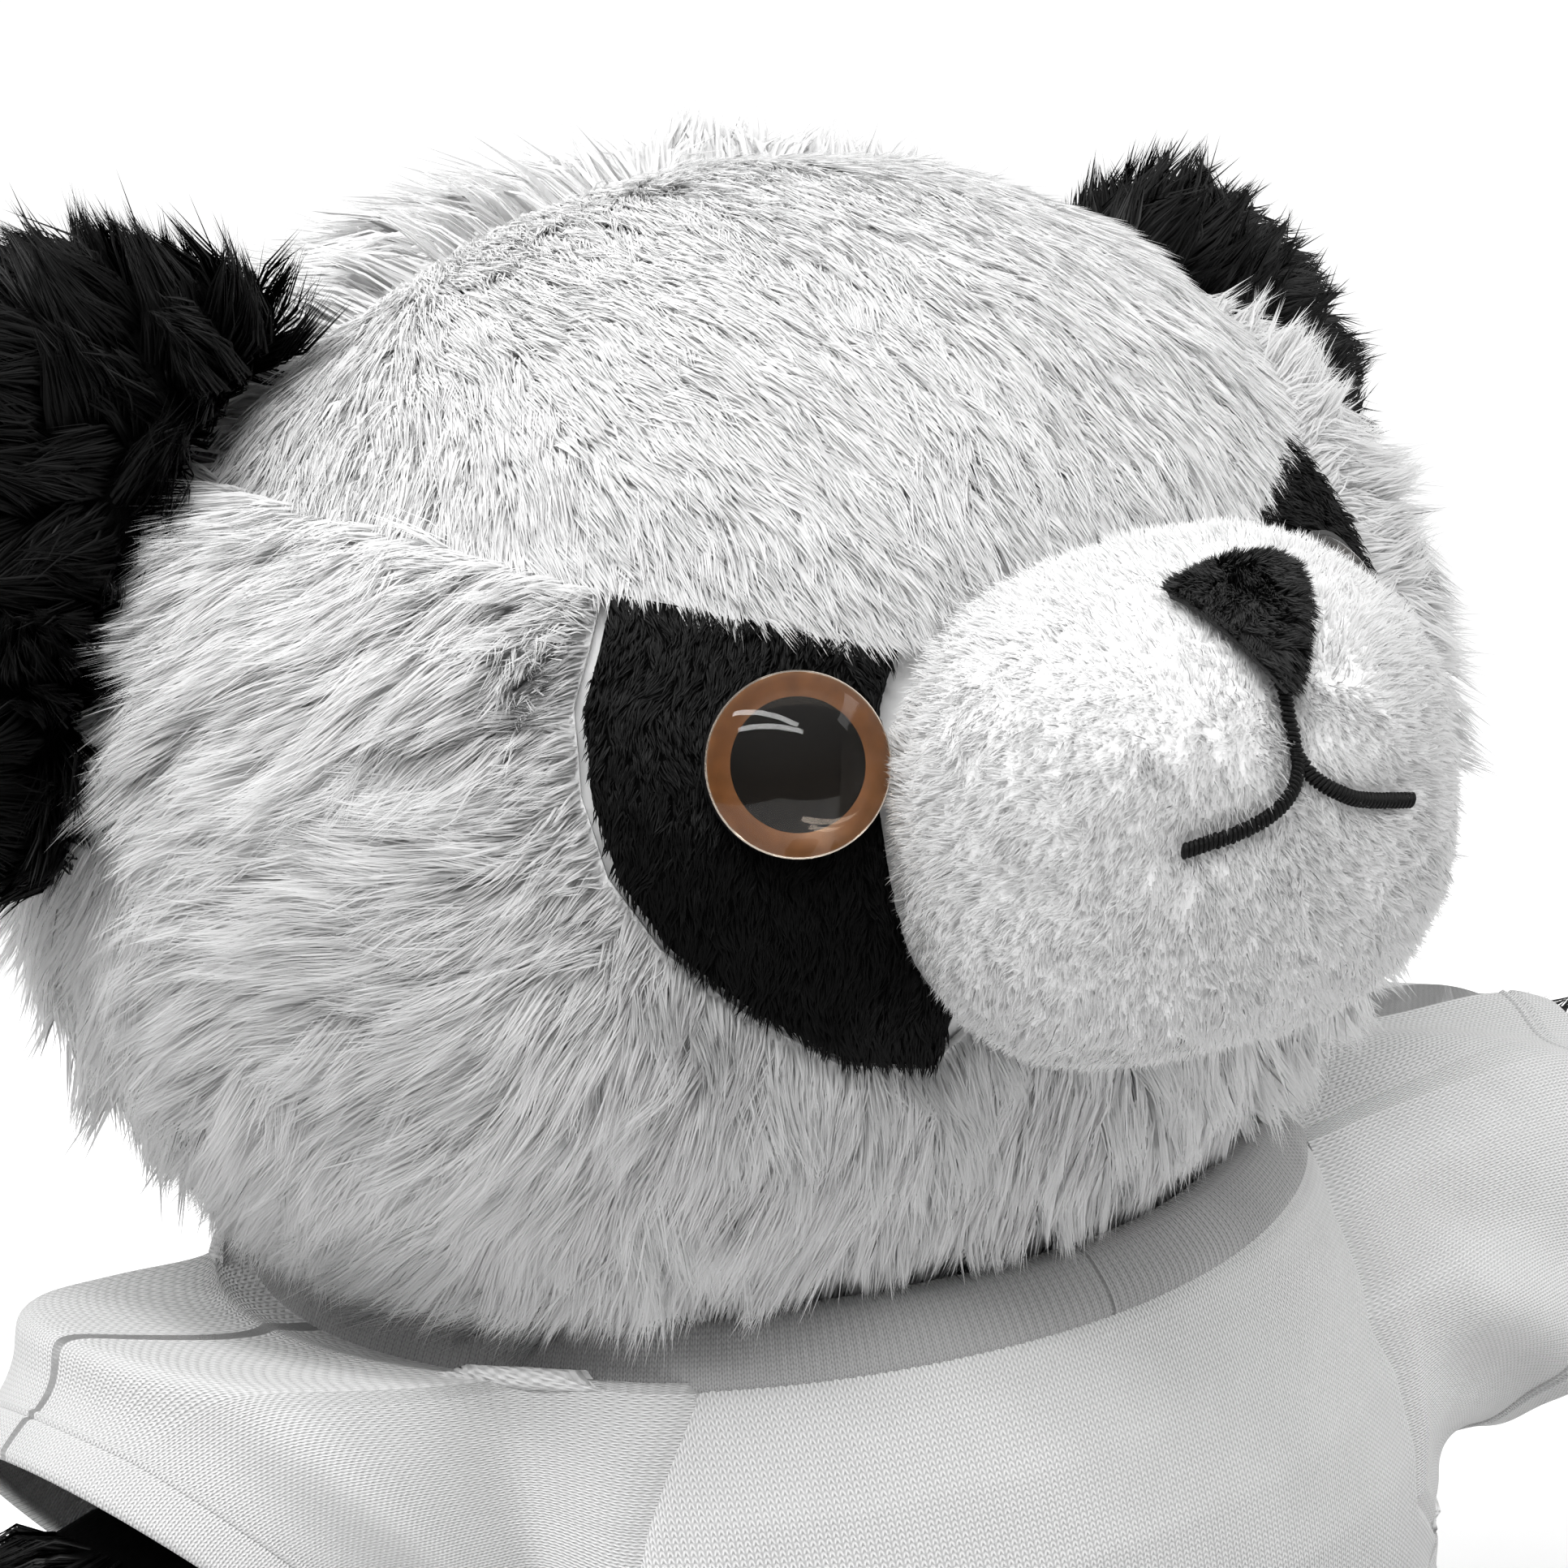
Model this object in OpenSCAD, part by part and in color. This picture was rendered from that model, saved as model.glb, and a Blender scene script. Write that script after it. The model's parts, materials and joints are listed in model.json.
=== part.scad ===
// Seated plush panda in a T-shirt: one module per sewn or moulded piece.
// Millimetres, +Z up, the toy faces -Y, its own right side is -X, the seat rests on z = 0.

/* [Overall] */
// Height of the stuffed body from the floor to the neck seam
body_height = 85; // [60:1:130]
// Width of the head across the cheeks, at the backing of the pile
head_width = 128; // [90:1:180]
// Depth of the head without the muzzle
head_depth = 116; // [80:1:165]
// Height of the head
head_height = 103; // [70:1:150]

/* [Face] */
// Width of the muzzle at its widest
muzzle_width = 50; // [30:1:70]
// Height of the muzzle
muzzle_height = 42; // [26:1:60]
// How far the muzzle stands out in front of the head
muzzle_reach = 25; // [12:1:40]
// Height of the middle of the muzzle above the middle of the head
muzzle_lift = 5; // [-10:0.5:15]
// Diameter of the plastic eye
eye_diameter = 15; // [8:0.5:22]
// Height of the clear dome of the eye
eye_dome = 4.2; // [2:0.1:7]
// Diameter of the black pupil
pupil_diameter = 8.4; // [4:0.1:12]
// Angle of the eye out from the middle of the face
eye_out = 29.5; // [20:0.5:45]
// Angle of the eye around the middle of the face, up from level
eye_up = 27; // [0:1:50]
// Width of the nose
nose_width = 12; // [8:0.5:26]
// Height of the nose
nose_height = 8.5; // [6:0.5:20]
// Width of the mouth
mouth_width = 22; // [12:1:36]
// How far the nose and mouth are sewn off the middle, towards the right side of the toy
face_shift = 2; // [0:0.5:4]

/* [Ears] */
// How far an ear stands out of the head
ear_reach = 28; // [15:1:45]
// Thickness of a stuffed ear in the middle
ear_thickness = 13; // [6:0.5:20]
// Top of the ear seam, as an angle up from level
ear_top = 54; // [40:1:75]
// Bottom of the ear seam, as an angle up from level
ear_bottom = 2; // [-15:1:25]
// How much lower around the head the left ear is sewn
ear_drop = 11; // [0:1:15]

/* [Body and limbs] */
// Width of the body
body_width = 116; // [80:1:160]
// Depth of the body
body_depth = 106; // [70:1:150]
// Diameter of the flat seat
seat_diameter = 78; // [50:1:110]
// Diameter of the neck where the head is sewn on
neck_diameter = 48; // [30:1:60]
// Length of an arm
arm_length = 66; // [40:1:100]
// Diameter of an arm
arm_diameter = 31; // [20:1:44]
// Slope of the right arm below level at rest
arm_slope_right = 40; // [0:1:52]
// Slope of the left arm below level at rest
arm_slope_left = 22; // [0:1:52]
// Length of a leg
leg_length = 54; // [35:1:80]
// Diameter of a leg at the foot
leg_diameter = 40; // [26:1:50]
// Diameter of the tail
tail_diameter = 23; // [12:1:35]

/* [Shirt] */
// Room between the body and the shirt
shirt_ease = 3; // [1.5:0.5:8]
// Height of the shirt hem above the floor
shirt_hem_height = 36; // [25:1:50]
// Height of the rib collar along its slope
collar_height = 8; // [4:0.5:14]
// Diameter of the collar where it joins the shirt
collar_diameter = 98; // [80:1:120]
// Length of a sleeve from the shoulder
sleeve_length = 22; // [12:1:50]
// Diameter of the sleeve at its hem
sleeve_diameter = 43; // [36:1:60]

/* [Hidden] */
white_fur = [0.94, 0.94, 0.92];
black_fur = [0.08, 0.08, 0.08];
white_short = [0.97, 0.97, 0.96];
charcoal = [0.13, 0.13, 0.13];
black = [0.03, 0.03, 0.03];
fibre = [0.9, 0.9, 0.88];
cotton = [0.97, 0.97, 0.97];
rib = [0.93, 0.93, 0.93];
clear_amber = [0.75, 0.6, 0.5];
brown = [0.45, 0.28, 0.15];
white_plastic = [0.9, 0.9, 0.9];
// Thickness of long pile, short pile, knit, and the covers of the body and limbs.
pile = 2.5;
short_pile = 1.1;
knit = 1.1;
fur_wall = 1.6;
// Clearances: seams between covers, and covers over their stuffing.
seam = 0.5;
fill_room = 0.7;
shirt_top = body_height + 2;
head_sink = 2.5;
head_z = body_height - head_sink + head_height / 2;
ha = head_width / 2;
hb = head_depth / 2;
hc = head_height / 2;
// The ear seam runs around the head at this angle from straight ahead; the neck opening's half width.
seam_rho = 92;
ear_lean = 0.3;
neck_half = 30;
// Half width and half height of the muzzle's seam, and its lift, as parts of the head's half sizes.
seam_a = muzzle_width * 0.44 / ha;
seam_b = muzzle_height * 0.46 / hc;
seam_c = muzzle_lift / hc;
muzzle_z = head_z + muzzle_lift;
muzzle_mid = 0.3 * muzzle_reach;
nose_top = muzzle_height / 2 - 1.2;
mouth_half = mouth_width / 2;
mouth_drop = 4.5;
// How square the muzzle is from the front and how blunt from the side: 1 is round.
square = 0.86;
square_low = 0.7;
dome = 0.85;
arm_r = arm_diameter / 2;
leg_r = leg_diameter / 2;
ba = body_width / 2;
bb = body_depth / 2;
seat_r = seat_diameter / 2;
neck_r = neck_diameter / 2;
arm_pivot_x = ba + 3.5;
arm_pivot_y = -2;
arm_pivot_z = body_height - 8;
leg_pivot_x = 31;
leg_pivot_z = leg_r + 1;
leg_splay = 12;

// Outer edge of the dark patch around the left eye, in degrees from the middle of the face.
patch_edge = [[17, -18], [24, -16], [31, -9.6], [37, -2.4], [40.3, 5], [41.3, 13], [40.5, 21.5], [36, 32]];
// Side view of the sleeve seam on the body: distance forward of the shoulder, part of the seam's height.
sleeve_seam = [
  [0, 1], [18, 1], [31, 0.985], [38, 0.86], [41.5, 0.62],
  [40, 0.38], [32, 0.17], [17, 0.04], [0, 0]
];
// Outlines as pairs: part of the height or length, part of the way out from the narrow end to the widest.
body_rows = [
  [0, 0], [0.03, 0.3], [0.1, 0.72], [0.2, 0.92], [0.38, 1], [0.6, 1],
  [0.72, 0.96], [0.8, 0.84], [0.88, 0.66], [0.94, 0.3], [0.97, 0.1], [1, 0]
];
// Limb outlines: part of the length, part of the radius.
arm_rows = [
  [0, 0.34], [0.05, 0.68], [0.13, 0.88], [0.3, 0.97],
  [0.6, 1.02], [0.84, 1], [0.94, 0.78], [1, 0.3]
];
leg_rows = [[0, 0.26], [0.07, 0.5], [0.18, 0.67], [0.4, 0.84], [0.7, 1], [0.93, 1], [1, 0.9]];

function mix(a, b, t) = a + (b - a) * t;
function spow(v, p) = (v < 0 ? -1 : 1) * pow(abs(v), p);
function pick(list, s) =
  let (n = len(list) - 1, k = min(n - 1, floor(s * n)), u = s * n - k)
  mix(list[k], list[k + 1], u);
function unit(v) = v / norm(v);

// ---- the head: directions are angles from straight ahead ----
function on_head(rho, theta, off) =
  [
    (ha + off) * sin(rho) * cos(theta),
    -(hb + off) * cos(rho),
    head_z + (hc + off) * sin(rho) * sin(theta)
  ];
function on_flat(q, off) = on_head(norm(q), atan2(q[1], q[0]), off);
function muzzle_seam(phi) =
  let (
    e = sin(phi) < 0 ? square_low : square,
    n = [seam_a * spow(cos(phi), e), seam_c + seam_b * spow(sin(phi), e)]
  )
  asin(norm(n)) * unit(n);
function shrink(q, g) = q * (1 + g / norm(q));
function turned(f) = function(s, t) f(1 - s, t);

// ---- mesh makers ----
function cell(a, b, c, d) = [[a, b, c], [a, c, d]];
function grid_faces(ns, nt, base, flip) =
  [
    for (i = [0 : ns - 1])
      for (j = [0 : nt - 1])
        let (
          a = base + i * (nt + 1) + j,
          b = a + nt + 1,
          q = flip ? cell(a, a + 1, b + 1, b) : cell(a, b, b + 1, a + 1)
        )
        each q
  ];
module patch(ns, nt, outer, inner) {
  n = (ns + 1) * (nt + 1);
  w = nt + 1;
  points = [
    for (f = [outer, inner])
      for (i = [0 : ns])
        for (j = [0 : nt])
          f(i / ns, j / nt)
  ];
  low = [for (i = [0 : ns - 1]) each cell(i * w, (i + 1) * w, n + (i + 1) * w, n + i * w)];
  high = [
    for (i = [0 : ns - 1])
      each cell((i + 1) * w + nt, i * w + nt, n + i * w + nt, n + (i + 1) * w + nt)
  ];
  near = [for (j = [0 : nt - 1]) each cell(j + 1, j, n + j, n + j + 1)];
  far = [
    for (j = [0 : nt - 1])
      each cell(ns * w + j, ns * w + j + 1, n + ns * w + j + 1, n + ns * w + j)
  ];
  faces = concat(grid_faces(ns, nt, 0, true), grid_faces(ns, nt, n, false), low, high, near, far);
  polyhedron(points = points, faces = faces, convexity = 6);
}
module lump(n, m, f) {
  points = [for (j = [0 : m]) for (i = [0 : n - 1]) f(i / n, j / m)];
  sides = [
    for (j = [0 : m - 1])
      for (i = [0 : n - 1])
        let (k = (i + 1) % n)
        each cell(j * n + i, (j + 1) * n + i, (j + 1) * n + k, j * n + k)
  ];
  caps = [[for (i = [0 : n - 1]) i], [for (i = [0 : n - 1]) m * n + n - 1 - i]];
  polyhedron(points = points, faces = concat(sides, caps), convexity = 4);
}
module tube(n, m, outer, inner) {
  c = n * (m + 1);
  points = [for (f = [outer, inner]) for (j = [0 : m]) for (i = [0 : n - 1]) f(i / n, j / m)];
  out = [
    for (j = [0 : m - 1])
      for (i = [0 : n - 1])
        let (k = (i + 1) % n)
        each cell(j * n + i, (j + 1) * n + i, (j + 1) * n + k, j * n + k)
  ];
  back = [
    for (j = [0 : m - 1])
      for (i = [0 : n - 1])
        let (k = (i + 1) % n)
        each cell(c + j * n + k, c + (j + 1) * n + k, c + (j + 1) * n + i, c + j * n + i)
  ];
  start = [for (i = [0 : n - 1]) let (k = (i + 1) % n) each cell(i, k, c + k, c + i)];
  end = [
    for (i = [0 : n - 1])
      let (k = (i + 1) % n, r = m * n)
      each cell(c + r + i, c + r + k, r + k, r + i)
  ];
  polyhedron(points = points, faces = concat(out, back, start, end), convexity = 6);
}

// ---- head pieces ----
module crown_panel() {
  corner = patch_edge[len(patch_edge) - 1];
  inner = function(s)
    let (q = s < 0.2 ? mix(corner, muzzle_seam(42), s / 0.2)
      : s > 0.8 ? mix([-muzzle_seam(42)[0], muzzle_seam(42)[1]], [-corner[0], corner[1]], (s - 0.8) / 0.2)
      : muzzle_seam(mix(42, 138, (s - 0.2) / 0.6)))
    [q[0], q[1] + 0.5];
  outer = function(s)
    let (th = mix(40.5, 139.5, s)) (seam_rho - 0.3) * [cos(th), sin(th)];
  color(white_fur) patch(18, 10,
    turned(function(s, t) on_flat(mix(inner(s), outer(s), t), pile)),
    turned(function(s, t) on_flat(mix(inner(s), outer(s), t), 0)));
}
module cheek_left_shape() {
  inner = function(s)
    s < 0.12 ? shrink(muzzle_seam(mix(-68, -48, s / 0.125)), seam)
    : shrink(pick(patch_edge, (s - 0.125) / 0.875), 2 * seam);
  outer = function(s)
    let (th = mix(-59.5, 39.7, s)) (seam_rho - 0.3) * [cos(th), sin(th)];
  patch(16, 12,
    turned(function(s, t) on_flat(mix(inner(s), outer(s), t), pile)),
    turned(function(s, t) on_flat(mix(inner(s), outer(s), t), 0)));
}
module cheek_panel_left() {
  color(white_fur) cheek_left_shape();
}
module cheek_panel_right() {
  color(white_fur) mirror([1, 0, 0]) cheek_left_shape();
}
module chin_panel() {
  inner = function(s) shrink(muzzle_seam(mix(-111, -69.5, s)), seam);
  outer = function(s)
    let (psi = mix(166.5, 13.5, s)) [48 * cos(psi), -90 + neck_half * sin(psi)];
  color(white_fur) patch(10, 9,
    turned(function(s, t) on_flat(mix(inner(s), outer(s), t), pile)),
    turned(function(s, t) on_flat(mix(inner(s), outer(s), t), 0)));
}
module head_back_left_shape() {
  low = function(rho)
    -90 + 0.5 + (rho < 120 ? neck_half * sqrt(1 - pow((rho - seam_rho) / (120 - seam_rho + 0.01), 2)) : 0);
  where = function(s, t, off)
    let (rho = mix(seam_rho + 0.3, 178, t)) on_head(rho, mix(low(rho), 89.6, s), off);
  patch(14, 12, function(s, t) where(1 - s, t, pile), function(s, t) where(1 - s, t, 0));
}
module head_back_left() {
  color(white_fur) head_back_left_shape();
}
module head_back_right() {
  color(white_fur) mirror([1, 0, 0]) head_back_left_shape();
}
module head_stuffing() {
  off = -1;
  color(fibre) difference() {
    lump(26, 12, function(s, t)
      let (e = mix(-62, 84, t), a = s * 360)
      [(ha + off) * cos(e) * sin(a), -(hb + off) * cos(e) * cos(a), head_z + (hc + off) * sin(e)]);
    eye_place(1) washer_room();
    eye_place(-1) washer_room();
  }
}
module washer_room() {
  translate([0, 0, -14]) cylinder(r = washer_r + 0.5, h = 14 - washer_top + 0.3);
}

// ---- muzzle ----
function muzzle_point(phi, t, off) =
  let (
    k = 0.3,
    u = t < k ? t / k : (t - k) / (1 - k),
    f = t < k ? mix(0.9, 1, sin(90 * u)) : pow(max(cos(90 * u), 0.0001), dome),
    rx = (muzzle_width / 2 + off) * f,
    rz = (muzzle_height / 2 + off) * f,
    e = sin(phi) < 0 ? square_low : square,
    x = rx * spow(cos(phi), e),
    z = rz * spow(sin(phi), e),
    zz = (z + muzzle_lift) / (hc + pile),
    xx = x / (ha + pile),
    face = -(hb + pile) * sqrt(max(0.05, 1 - xx * xx - zz * zz)),
    front = -hb - muzzle_mid,
    y = t < k ? mix(face - 0.3, front, u) : front - (muzzle_reach - muzzle_mid + off) * sin(90 * u)
  )
  [x, y, muzzle_z + z];
module muzzle_cover() {
  color(white_short) tube(26, 10,
    function(s, t) muzzle_point(360 * s, mix(0, 0.955, t), 0),
    function(s, t) muzzle_point(360 * s, mix(0, 0.955, t), -short_pile));
}
module muzzle_stuffing() {
  color(fibre) lump(24, 9,
    function(s, t) muzzle_point(360 * s, mix(0.02, 0.97, t), -short_pile - 0.35));
}
function muzzle_front(x, z, off) =
  let (
    px = abs(x) / (muzzle_width / 2 + off),
    pz = abs(z) / (muzzle_height / 2 + off),
    f = min(0.999, pow(pow(px, 2 / square) + pow(pz, 2 / square), square / 2)),
    u = acos(pow(f, 1 / dome))
  )
  [x, -hb - muzzle_mid - (muzzle_reach - muzzle_mid + off) * sin(u), muzzle_z + z];
module nose() {
  where = function(s, t, off)
    let (
      k = 2 * s - 1,
      half = nose_width / 2 * mix(1, 0.1, t),
      z = nose_top - nose_height * t - 0.8 * k * k * (1 - t)
    )
    muzzle_front(half * k - face_shift * mix(0.4, 1, t), z, off);
  color(charcoal) patch(10, 8,
    function(s, t) where(1 - s, t, 1.0), function(s, t) where(1 - s, t, 0.1));
}
module stitch_bar(a, b, n) {
  patch(2, n,
    function(s, t) let (p = mix(a, b, t), w = mix(0.75, -0.75, s), d = unit([b[1] - a[1], a[0] - b[0]]))
      muzzle_front(p[0] - w * d[0] - face_shift, p[1] - w * d[1], 0.85),
    function(s, t) let (p = mix(a, b, t), w = mix(0.75, -0.75, s), d = unit([b[1] - a[1], a[0] - b[0]]))
      muzzle_front(p[0] - w * d[0] - face_shift, p[1] - w * d[1], 0.1));
}
module mouth() {
  start = nose_top - nose_height - 0.6;
  fork = start - 5;
  color(black) union() {
    stitch_bar([0, start], [0, fork], 4);
    stitch_bar([-1, fork - 0.6], [-mouth_half, fork - mouth_drop], 6);
    stitch_bar([1, fork - 0.6], [mouth_half, fork - mouth_drop], 6);
  }
}

// ---- eyes ----
eye_r = eye_diameter / 2;
// The eye keeps clear of the muzzle, whatever their sizes.
eye_rho = eye_out + 0.5 * (muzzle_width + eye_diameter - 65) * 57.3 / ha;
washer_r = 5.6;
washer_top = 1.9;
module eye_place(side) {
  n = [
    side * sin(eye_rho) * cos(eye_up) / ha,
    -cos(eye_rho) / hb,
    sin(eye_rho) * sin(eye_up) / hc
  ];
  d = unit(n);
  p = on_head(eye_rho, eye_up, short_pile + 0.15);
  translate([side * p[0], p[1], p[2]])
    rotate([0, acos(d[2]), atan2(d[1], d[0])]) children();
}
module eye_lens_shape() {
  curve = (eye_r * eye_r + eye_dome * eye_dome) / (2 * eye_dome);
  translate([0, 0, 1.75]) intersection() {
    translate([0, 0, eye_dome - curve]) sphere(r = curve);
    cylinder(r = eye_r + 1, h = eye_dome + 1);
  }
}
module eye_iris_shape() {
  translate([0, 0, 1.3]) difference() {
    cylinder(r = eye_r - 0.35, h = 0.35);
    translate([0, 0, -1]) cylinder(r = pupil_diameter / 2 + 0.1, h = 3);
  }
}
module eye_pupil_shape() {
  translate([0, 0, 1.3]) cylinder(r = pupil_diameter / 2, h = 0.35);
}
module eye_shank_shape() {
  translate([0, 0, 0.1]) cylinder(r = eye_r - 0.1, h = 1.1);
  translate([0, 0, -10]) cylinder(r = 1.6, h = 10.2);
}
module eye_washer_shape() {
  translate([0, 0, -washer_top - 1.3]) difference() {
    cylinder(r = washer_r, h = 1.3);
    translate([0, 0, -1]) cylinder(r = 1.75, h = 4);
  }
}
module eye_lens_left() { color(clear_amber) eye_place(1) eye_lens_shape(); }
module eye_lens_right() { color(clear_amber) eye_place(-1) eye_lens_shape(); }
module eye_iris_left() { color(brown) eye_place(1) eye_iris_shape(); }
module eye_iris_right() { color(brown) eye_place(-1) eye_iris_shape(); }
module eye_pupil_left() { color(black) eye_place(1) eye_pupil_shape(); }
module eye_pupil_right() { color(black) eye_place(-1) eye_pupil_shape(); }
module eye_shank_left() { color(black) eye_place(1) eye_shank_shape(); }
module eye_shank_right() { color(black) eye_place(-1) eye_shank_shape(); }
module eye_washer_left() { color(white_plastic) eye_place(1) eye_washer_shape(); }
module eye_washer_right() { color(white_plastic) eye_place(-1) eye_washer_shape(); }
module eye_patch_shape() {
  inner = function(s) shrink(muzzle_seam(mix(-46, 41, s)), seam);
  outer = function(s) pick(patch_edge, s);
  patch(14, 8,
    turned(function(s, t) on_flat(mix(inner(s), outer(s), t), short_pile)),
    turned(function(s, t) on_flat(mix(inner(s), outer(s), t), 0)));
}
module eye_patch_left() {
  color(black_fur) difference() {
    eye_patch_shape();
    eye_place(1) translate([0, 0, -6]) cylinder(r = 1.9, h = 9);
  }
}
module eye_patch_right() {
  color(black_fur) difference() {
    mirror([1, 0, 0]) eye_patch_shape();
    eye_place(-1) translate([0, 0, -6]) cylinder(r = 1.9, h = 9);
  }
}

// ---- ears ----
function ear_point(drop, s, t, h) =
  let (
    top = ear_top - drop,
    bottom = ear_bottom - drop,
    a = on_head(seam_rho, top, pile + 1.75),
    b = on_head(seam_rho, bottom, pile + 1.75),
    u = unit(b - a),
    v = unit(cross([0, -1, 0], u) + [0, ear_lean, 0]),
    root = on_head(seam_rho, mix(top, bottom, s), pile + 1.75),
    along = u * cos(180 * s) * (norm(b - a) / 2 + 2.5 * sin(180 * s)),
    rim = (a + b) / 2 - along + v * ear_reach * spow(sin(180 * s), 0.8),
    p = mix(root, rim, t),
    bulge = 0.35 + 0.65 * spow(sin(180 * mix(0.03, 0.97, t)), 0.6) * spow(sin(180 * mix(0.04, 0.96, s)), 0.6)
  )
  p + unit(cross(u, v)) * h * bulge;
module ear_back_shape(drop) {
  patch(14, 8, function(s, t) ear_point(drop, mix(0.03, 0.97, s), t, ear_thickness / 2),
    function(s, t) ear_point(drop, mix(0.03, 0.97, s), t, 0.35));
}
module ear_front_shape(drop) {
  patch(14, 8, function(s, t) ear_point(drop, mix(0.97, 0.03, s), t, -ear_thickness / 2),
    function(s, t) ear_point(drop, mix(0.97, 0.03, s), t, -0.35));
}
module ear_front_left() { color(black_fur) ear_front_shape(ear_drop); }
module ear_front_right() { color(black_fur) mirror([1, 0, 0]) ear_front_shape(0); }
module ear_back_left() { color(black_fur) ear_back_shape(ear_drop); }
module ear_back_right() { color(black_fur) mirror([1, 0, 0]) ear_back_shape(0); }

// ---- neck ----
module neck_seam_band() {
  color(white_fur) translate([0, 0, body_height + 0.3]) cylinder(r = neck_r - 13, h = 1);
}

// ---- body ----
function body_half(z, half, off) =
  let (t = z / body_height, narrow = t < 0.5 ? seat_r : neck_r)
  mix(narrow, half, lookup(t, body_rows)) + off;
function on_body(a, z, off) = [body_half(z, ba, off) * sin(a), -body_half(z, bb, off) * cos(a), z];
module body_stuffing() {
  color(fibre) lump(32, 12, function(s, t)
    on_body(360 * s, mix(1.6, body_height - 0.6, t), -fur_wall - 0.9));
}
module belly_panel() {
  color(white_fur) patch(16, 12,
    function(s, t) on_body(mix(-89.6, 89.6, s), mix(0.3, body_height, t), 0),
    function(s, t) on_body(mix(-89.6, 89.6, s), mix(0.3, body_height, t), -fur_wall));
}
module back_panel() {
  color(white_fur) patch(16, 12,
    function(s, t) on_body(mix(90.4, 269.6, s), mix(0.3, body_height, t), 0),
    function(s, t) on_body(mix(90.4, 269.6, s), mix(0.3, body_height, t), -fur_wall));
}
module seat_panel() {
  color(white_fur) cylinder(r = seat_r - fur_wall - 0.4, h = 1.2);
}
tail_z = 23;
tail_r = tail_diameter / 2;
function tail_point(a, t, off) =
  let (
    f = t < 0.5 ? mix(0.82, 1, sin(180 * t)) : pow(cos(180 * (t - 0.5) * 0.97), 0.6),
    x = (tail_r + off) * f * cos(a),
    z = (tail_r + off) * f * sin(a),
    q = x / body_half(tail_z + z, ba, 0),
    skin = body_half(tail_z + z, bb, 0) * sqrt(1 - q * q),
    far = bb + tail_r * 1.3 + off
  )
  [x, mix(skin + 0.5, far, sin(90 * t)), tail_z + z];
module tail_cover() {
  color(white_fur) tube(20, 8,
    function(s, t) tail_point(-360 * s, t * 0.97, 0),
    function(s, t) tail_point(-360 * s, t * 0.97, -fur_wall));
}
module tail_stuffing() {
  color(fibre) lump(18, 7, function(s, t) tail_point(-360 * s, mix(0.03, 0.98, t), -fur_wall - 0.4));
}

// ---- limbs ----
module arm_place(side, slope) {
  translate([side * arm_pivot_x, arm_pivot_y, arm_pivot_z])
    rotate([0, 0, side > 0 ? -6 : 186]) rotate([0, slope, 0]) rotate([0, 90, 0]) children();
}
module leg_place(side) {
  back = body_half(leg_pivot_z, bb, 0) * sqrt(1 - pow(leg_pivot_x / body_half(leg_pivot_z, ba, 0), 2));
  translate([side * leg_pivot_x, -back - 2.6, leg_pivot_z])
    rotate([0, 0, side * leg_splay]) rotate([90, 0, 0]) children();
}
function limb_point(list, len, r, a, k, off) =
  let (q = r * lookup(k, list) + off) [q * cos(a), q * sin(a), len * k];
module limb_cover(list, len, r, from, to) {
  patch(9, 10,
    function(s, t) limb_point(list, len, r, mix(from, to, s), t, 0),
    function(s, t) limb_point(list, len, r, mix(from, to, s), t, -fur_wall));
}
module limb_core(list, len, r, end) {
  lump(20, 10, function(s, t) limb_point(list, len, r, 360 * s, mix(0.015, end, t), -fur_wall - fill_room));
}
module arm_cover(side, slope, from) {
  color(black_fur) arm_place(side, slope) limb_cover(arm_rows, arm_length, arm_r, from, from + 178);
}
module arm_core(side, slope) {
  color(fibre) arm_place(side, slope) limb_core(arm_rows, arm_length, arm_r, 0.985);
}
module arm_outer_left() { arm_cover(1, arm_slope_left, 91); }
module arm_inner_left() { arm_cover(1, arm_slope_left, -89); }
module arm_outer_right() { arm_cover(-1, arm_slope_right, 91); }
module arm_inner_right() { arm_cover(-1, arm_slope_right, -89); }
module arm_stuffing_left() { arm_core(1, arm_slope_left); }
module arm_stuffing_right() { arm_core(-1, arm_slope_right); }
module leg_cover(side, from) {
  color(black_fur) leg_place(side) limb_cover(leg_rows, leg_length, leg_r, from, from + 178);
}
module leg_core(side) {
  color(fibre) leg_place(side) limb_core(leg_rows, leg_length, leg_r, 0.97);
}
module leg_top_left() { leg_cover(1, 1); }
module leg_under_left() { leg_cover(1, 181); }
module leg_top_right() { leg_cover(-1, 1); }
module leg_under_right() { leg_cover(-1, 181); }
module leg_stuffing_left() { leg_core(1); }
module leg_stuffing_right() { leg_core(-1); }
module sole_shape() {
  translate([0, 0, leg_length - 1.2]) cylinder(r = leg_r * 0.9 - fur_wall - 0.3, h = 1.6);
}
module sole_left() { color(charcoal) leg_place(1) sole_shape(); }
module sole_right() { color(charcoal) leg_place(-1) sole_shape(); }

// ---- shirt ----
collar_r = collar_diameter / 2 + 0.4 * max(0, head_width - 128);
hem_height = 5.7;
shirt_a = ba + shirt_ease;
shirt_b = bb + shirt_ease;
shirt_rows = [[0, 1], [0.5, 1], [0.65, 0.87], [0.8, 0.58], [0.9, 0.3], [1, 0]];
function shirt_half(z, half, off) =
  let (t = (z - shirt_hem_height) / (shirt_top - shirt_hem_height))
  mix(collar_r, half, lookup(t, shirt_rows)) + off;
seam_low = arm_pivot_z - arm_r - 13;
seam_high = shirt_top;
function seam_at(s) =
  let (p = pick(sleeve_seam, s)) [p[0] * shirt_b / 56, mix(seam_low, seam_high, p[1])];
function seam_forward(z) =
  z <= seam_low ? 0 : lookup((z - seam_low) / (seam_high - seam_low), [
    for (i = [len(sleeve_seam) - 1 : -1 : 2]) [sleeve_seam[i][1], sleeve_seam[i][0] * shirt_b / 56]
  ]);
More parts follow.
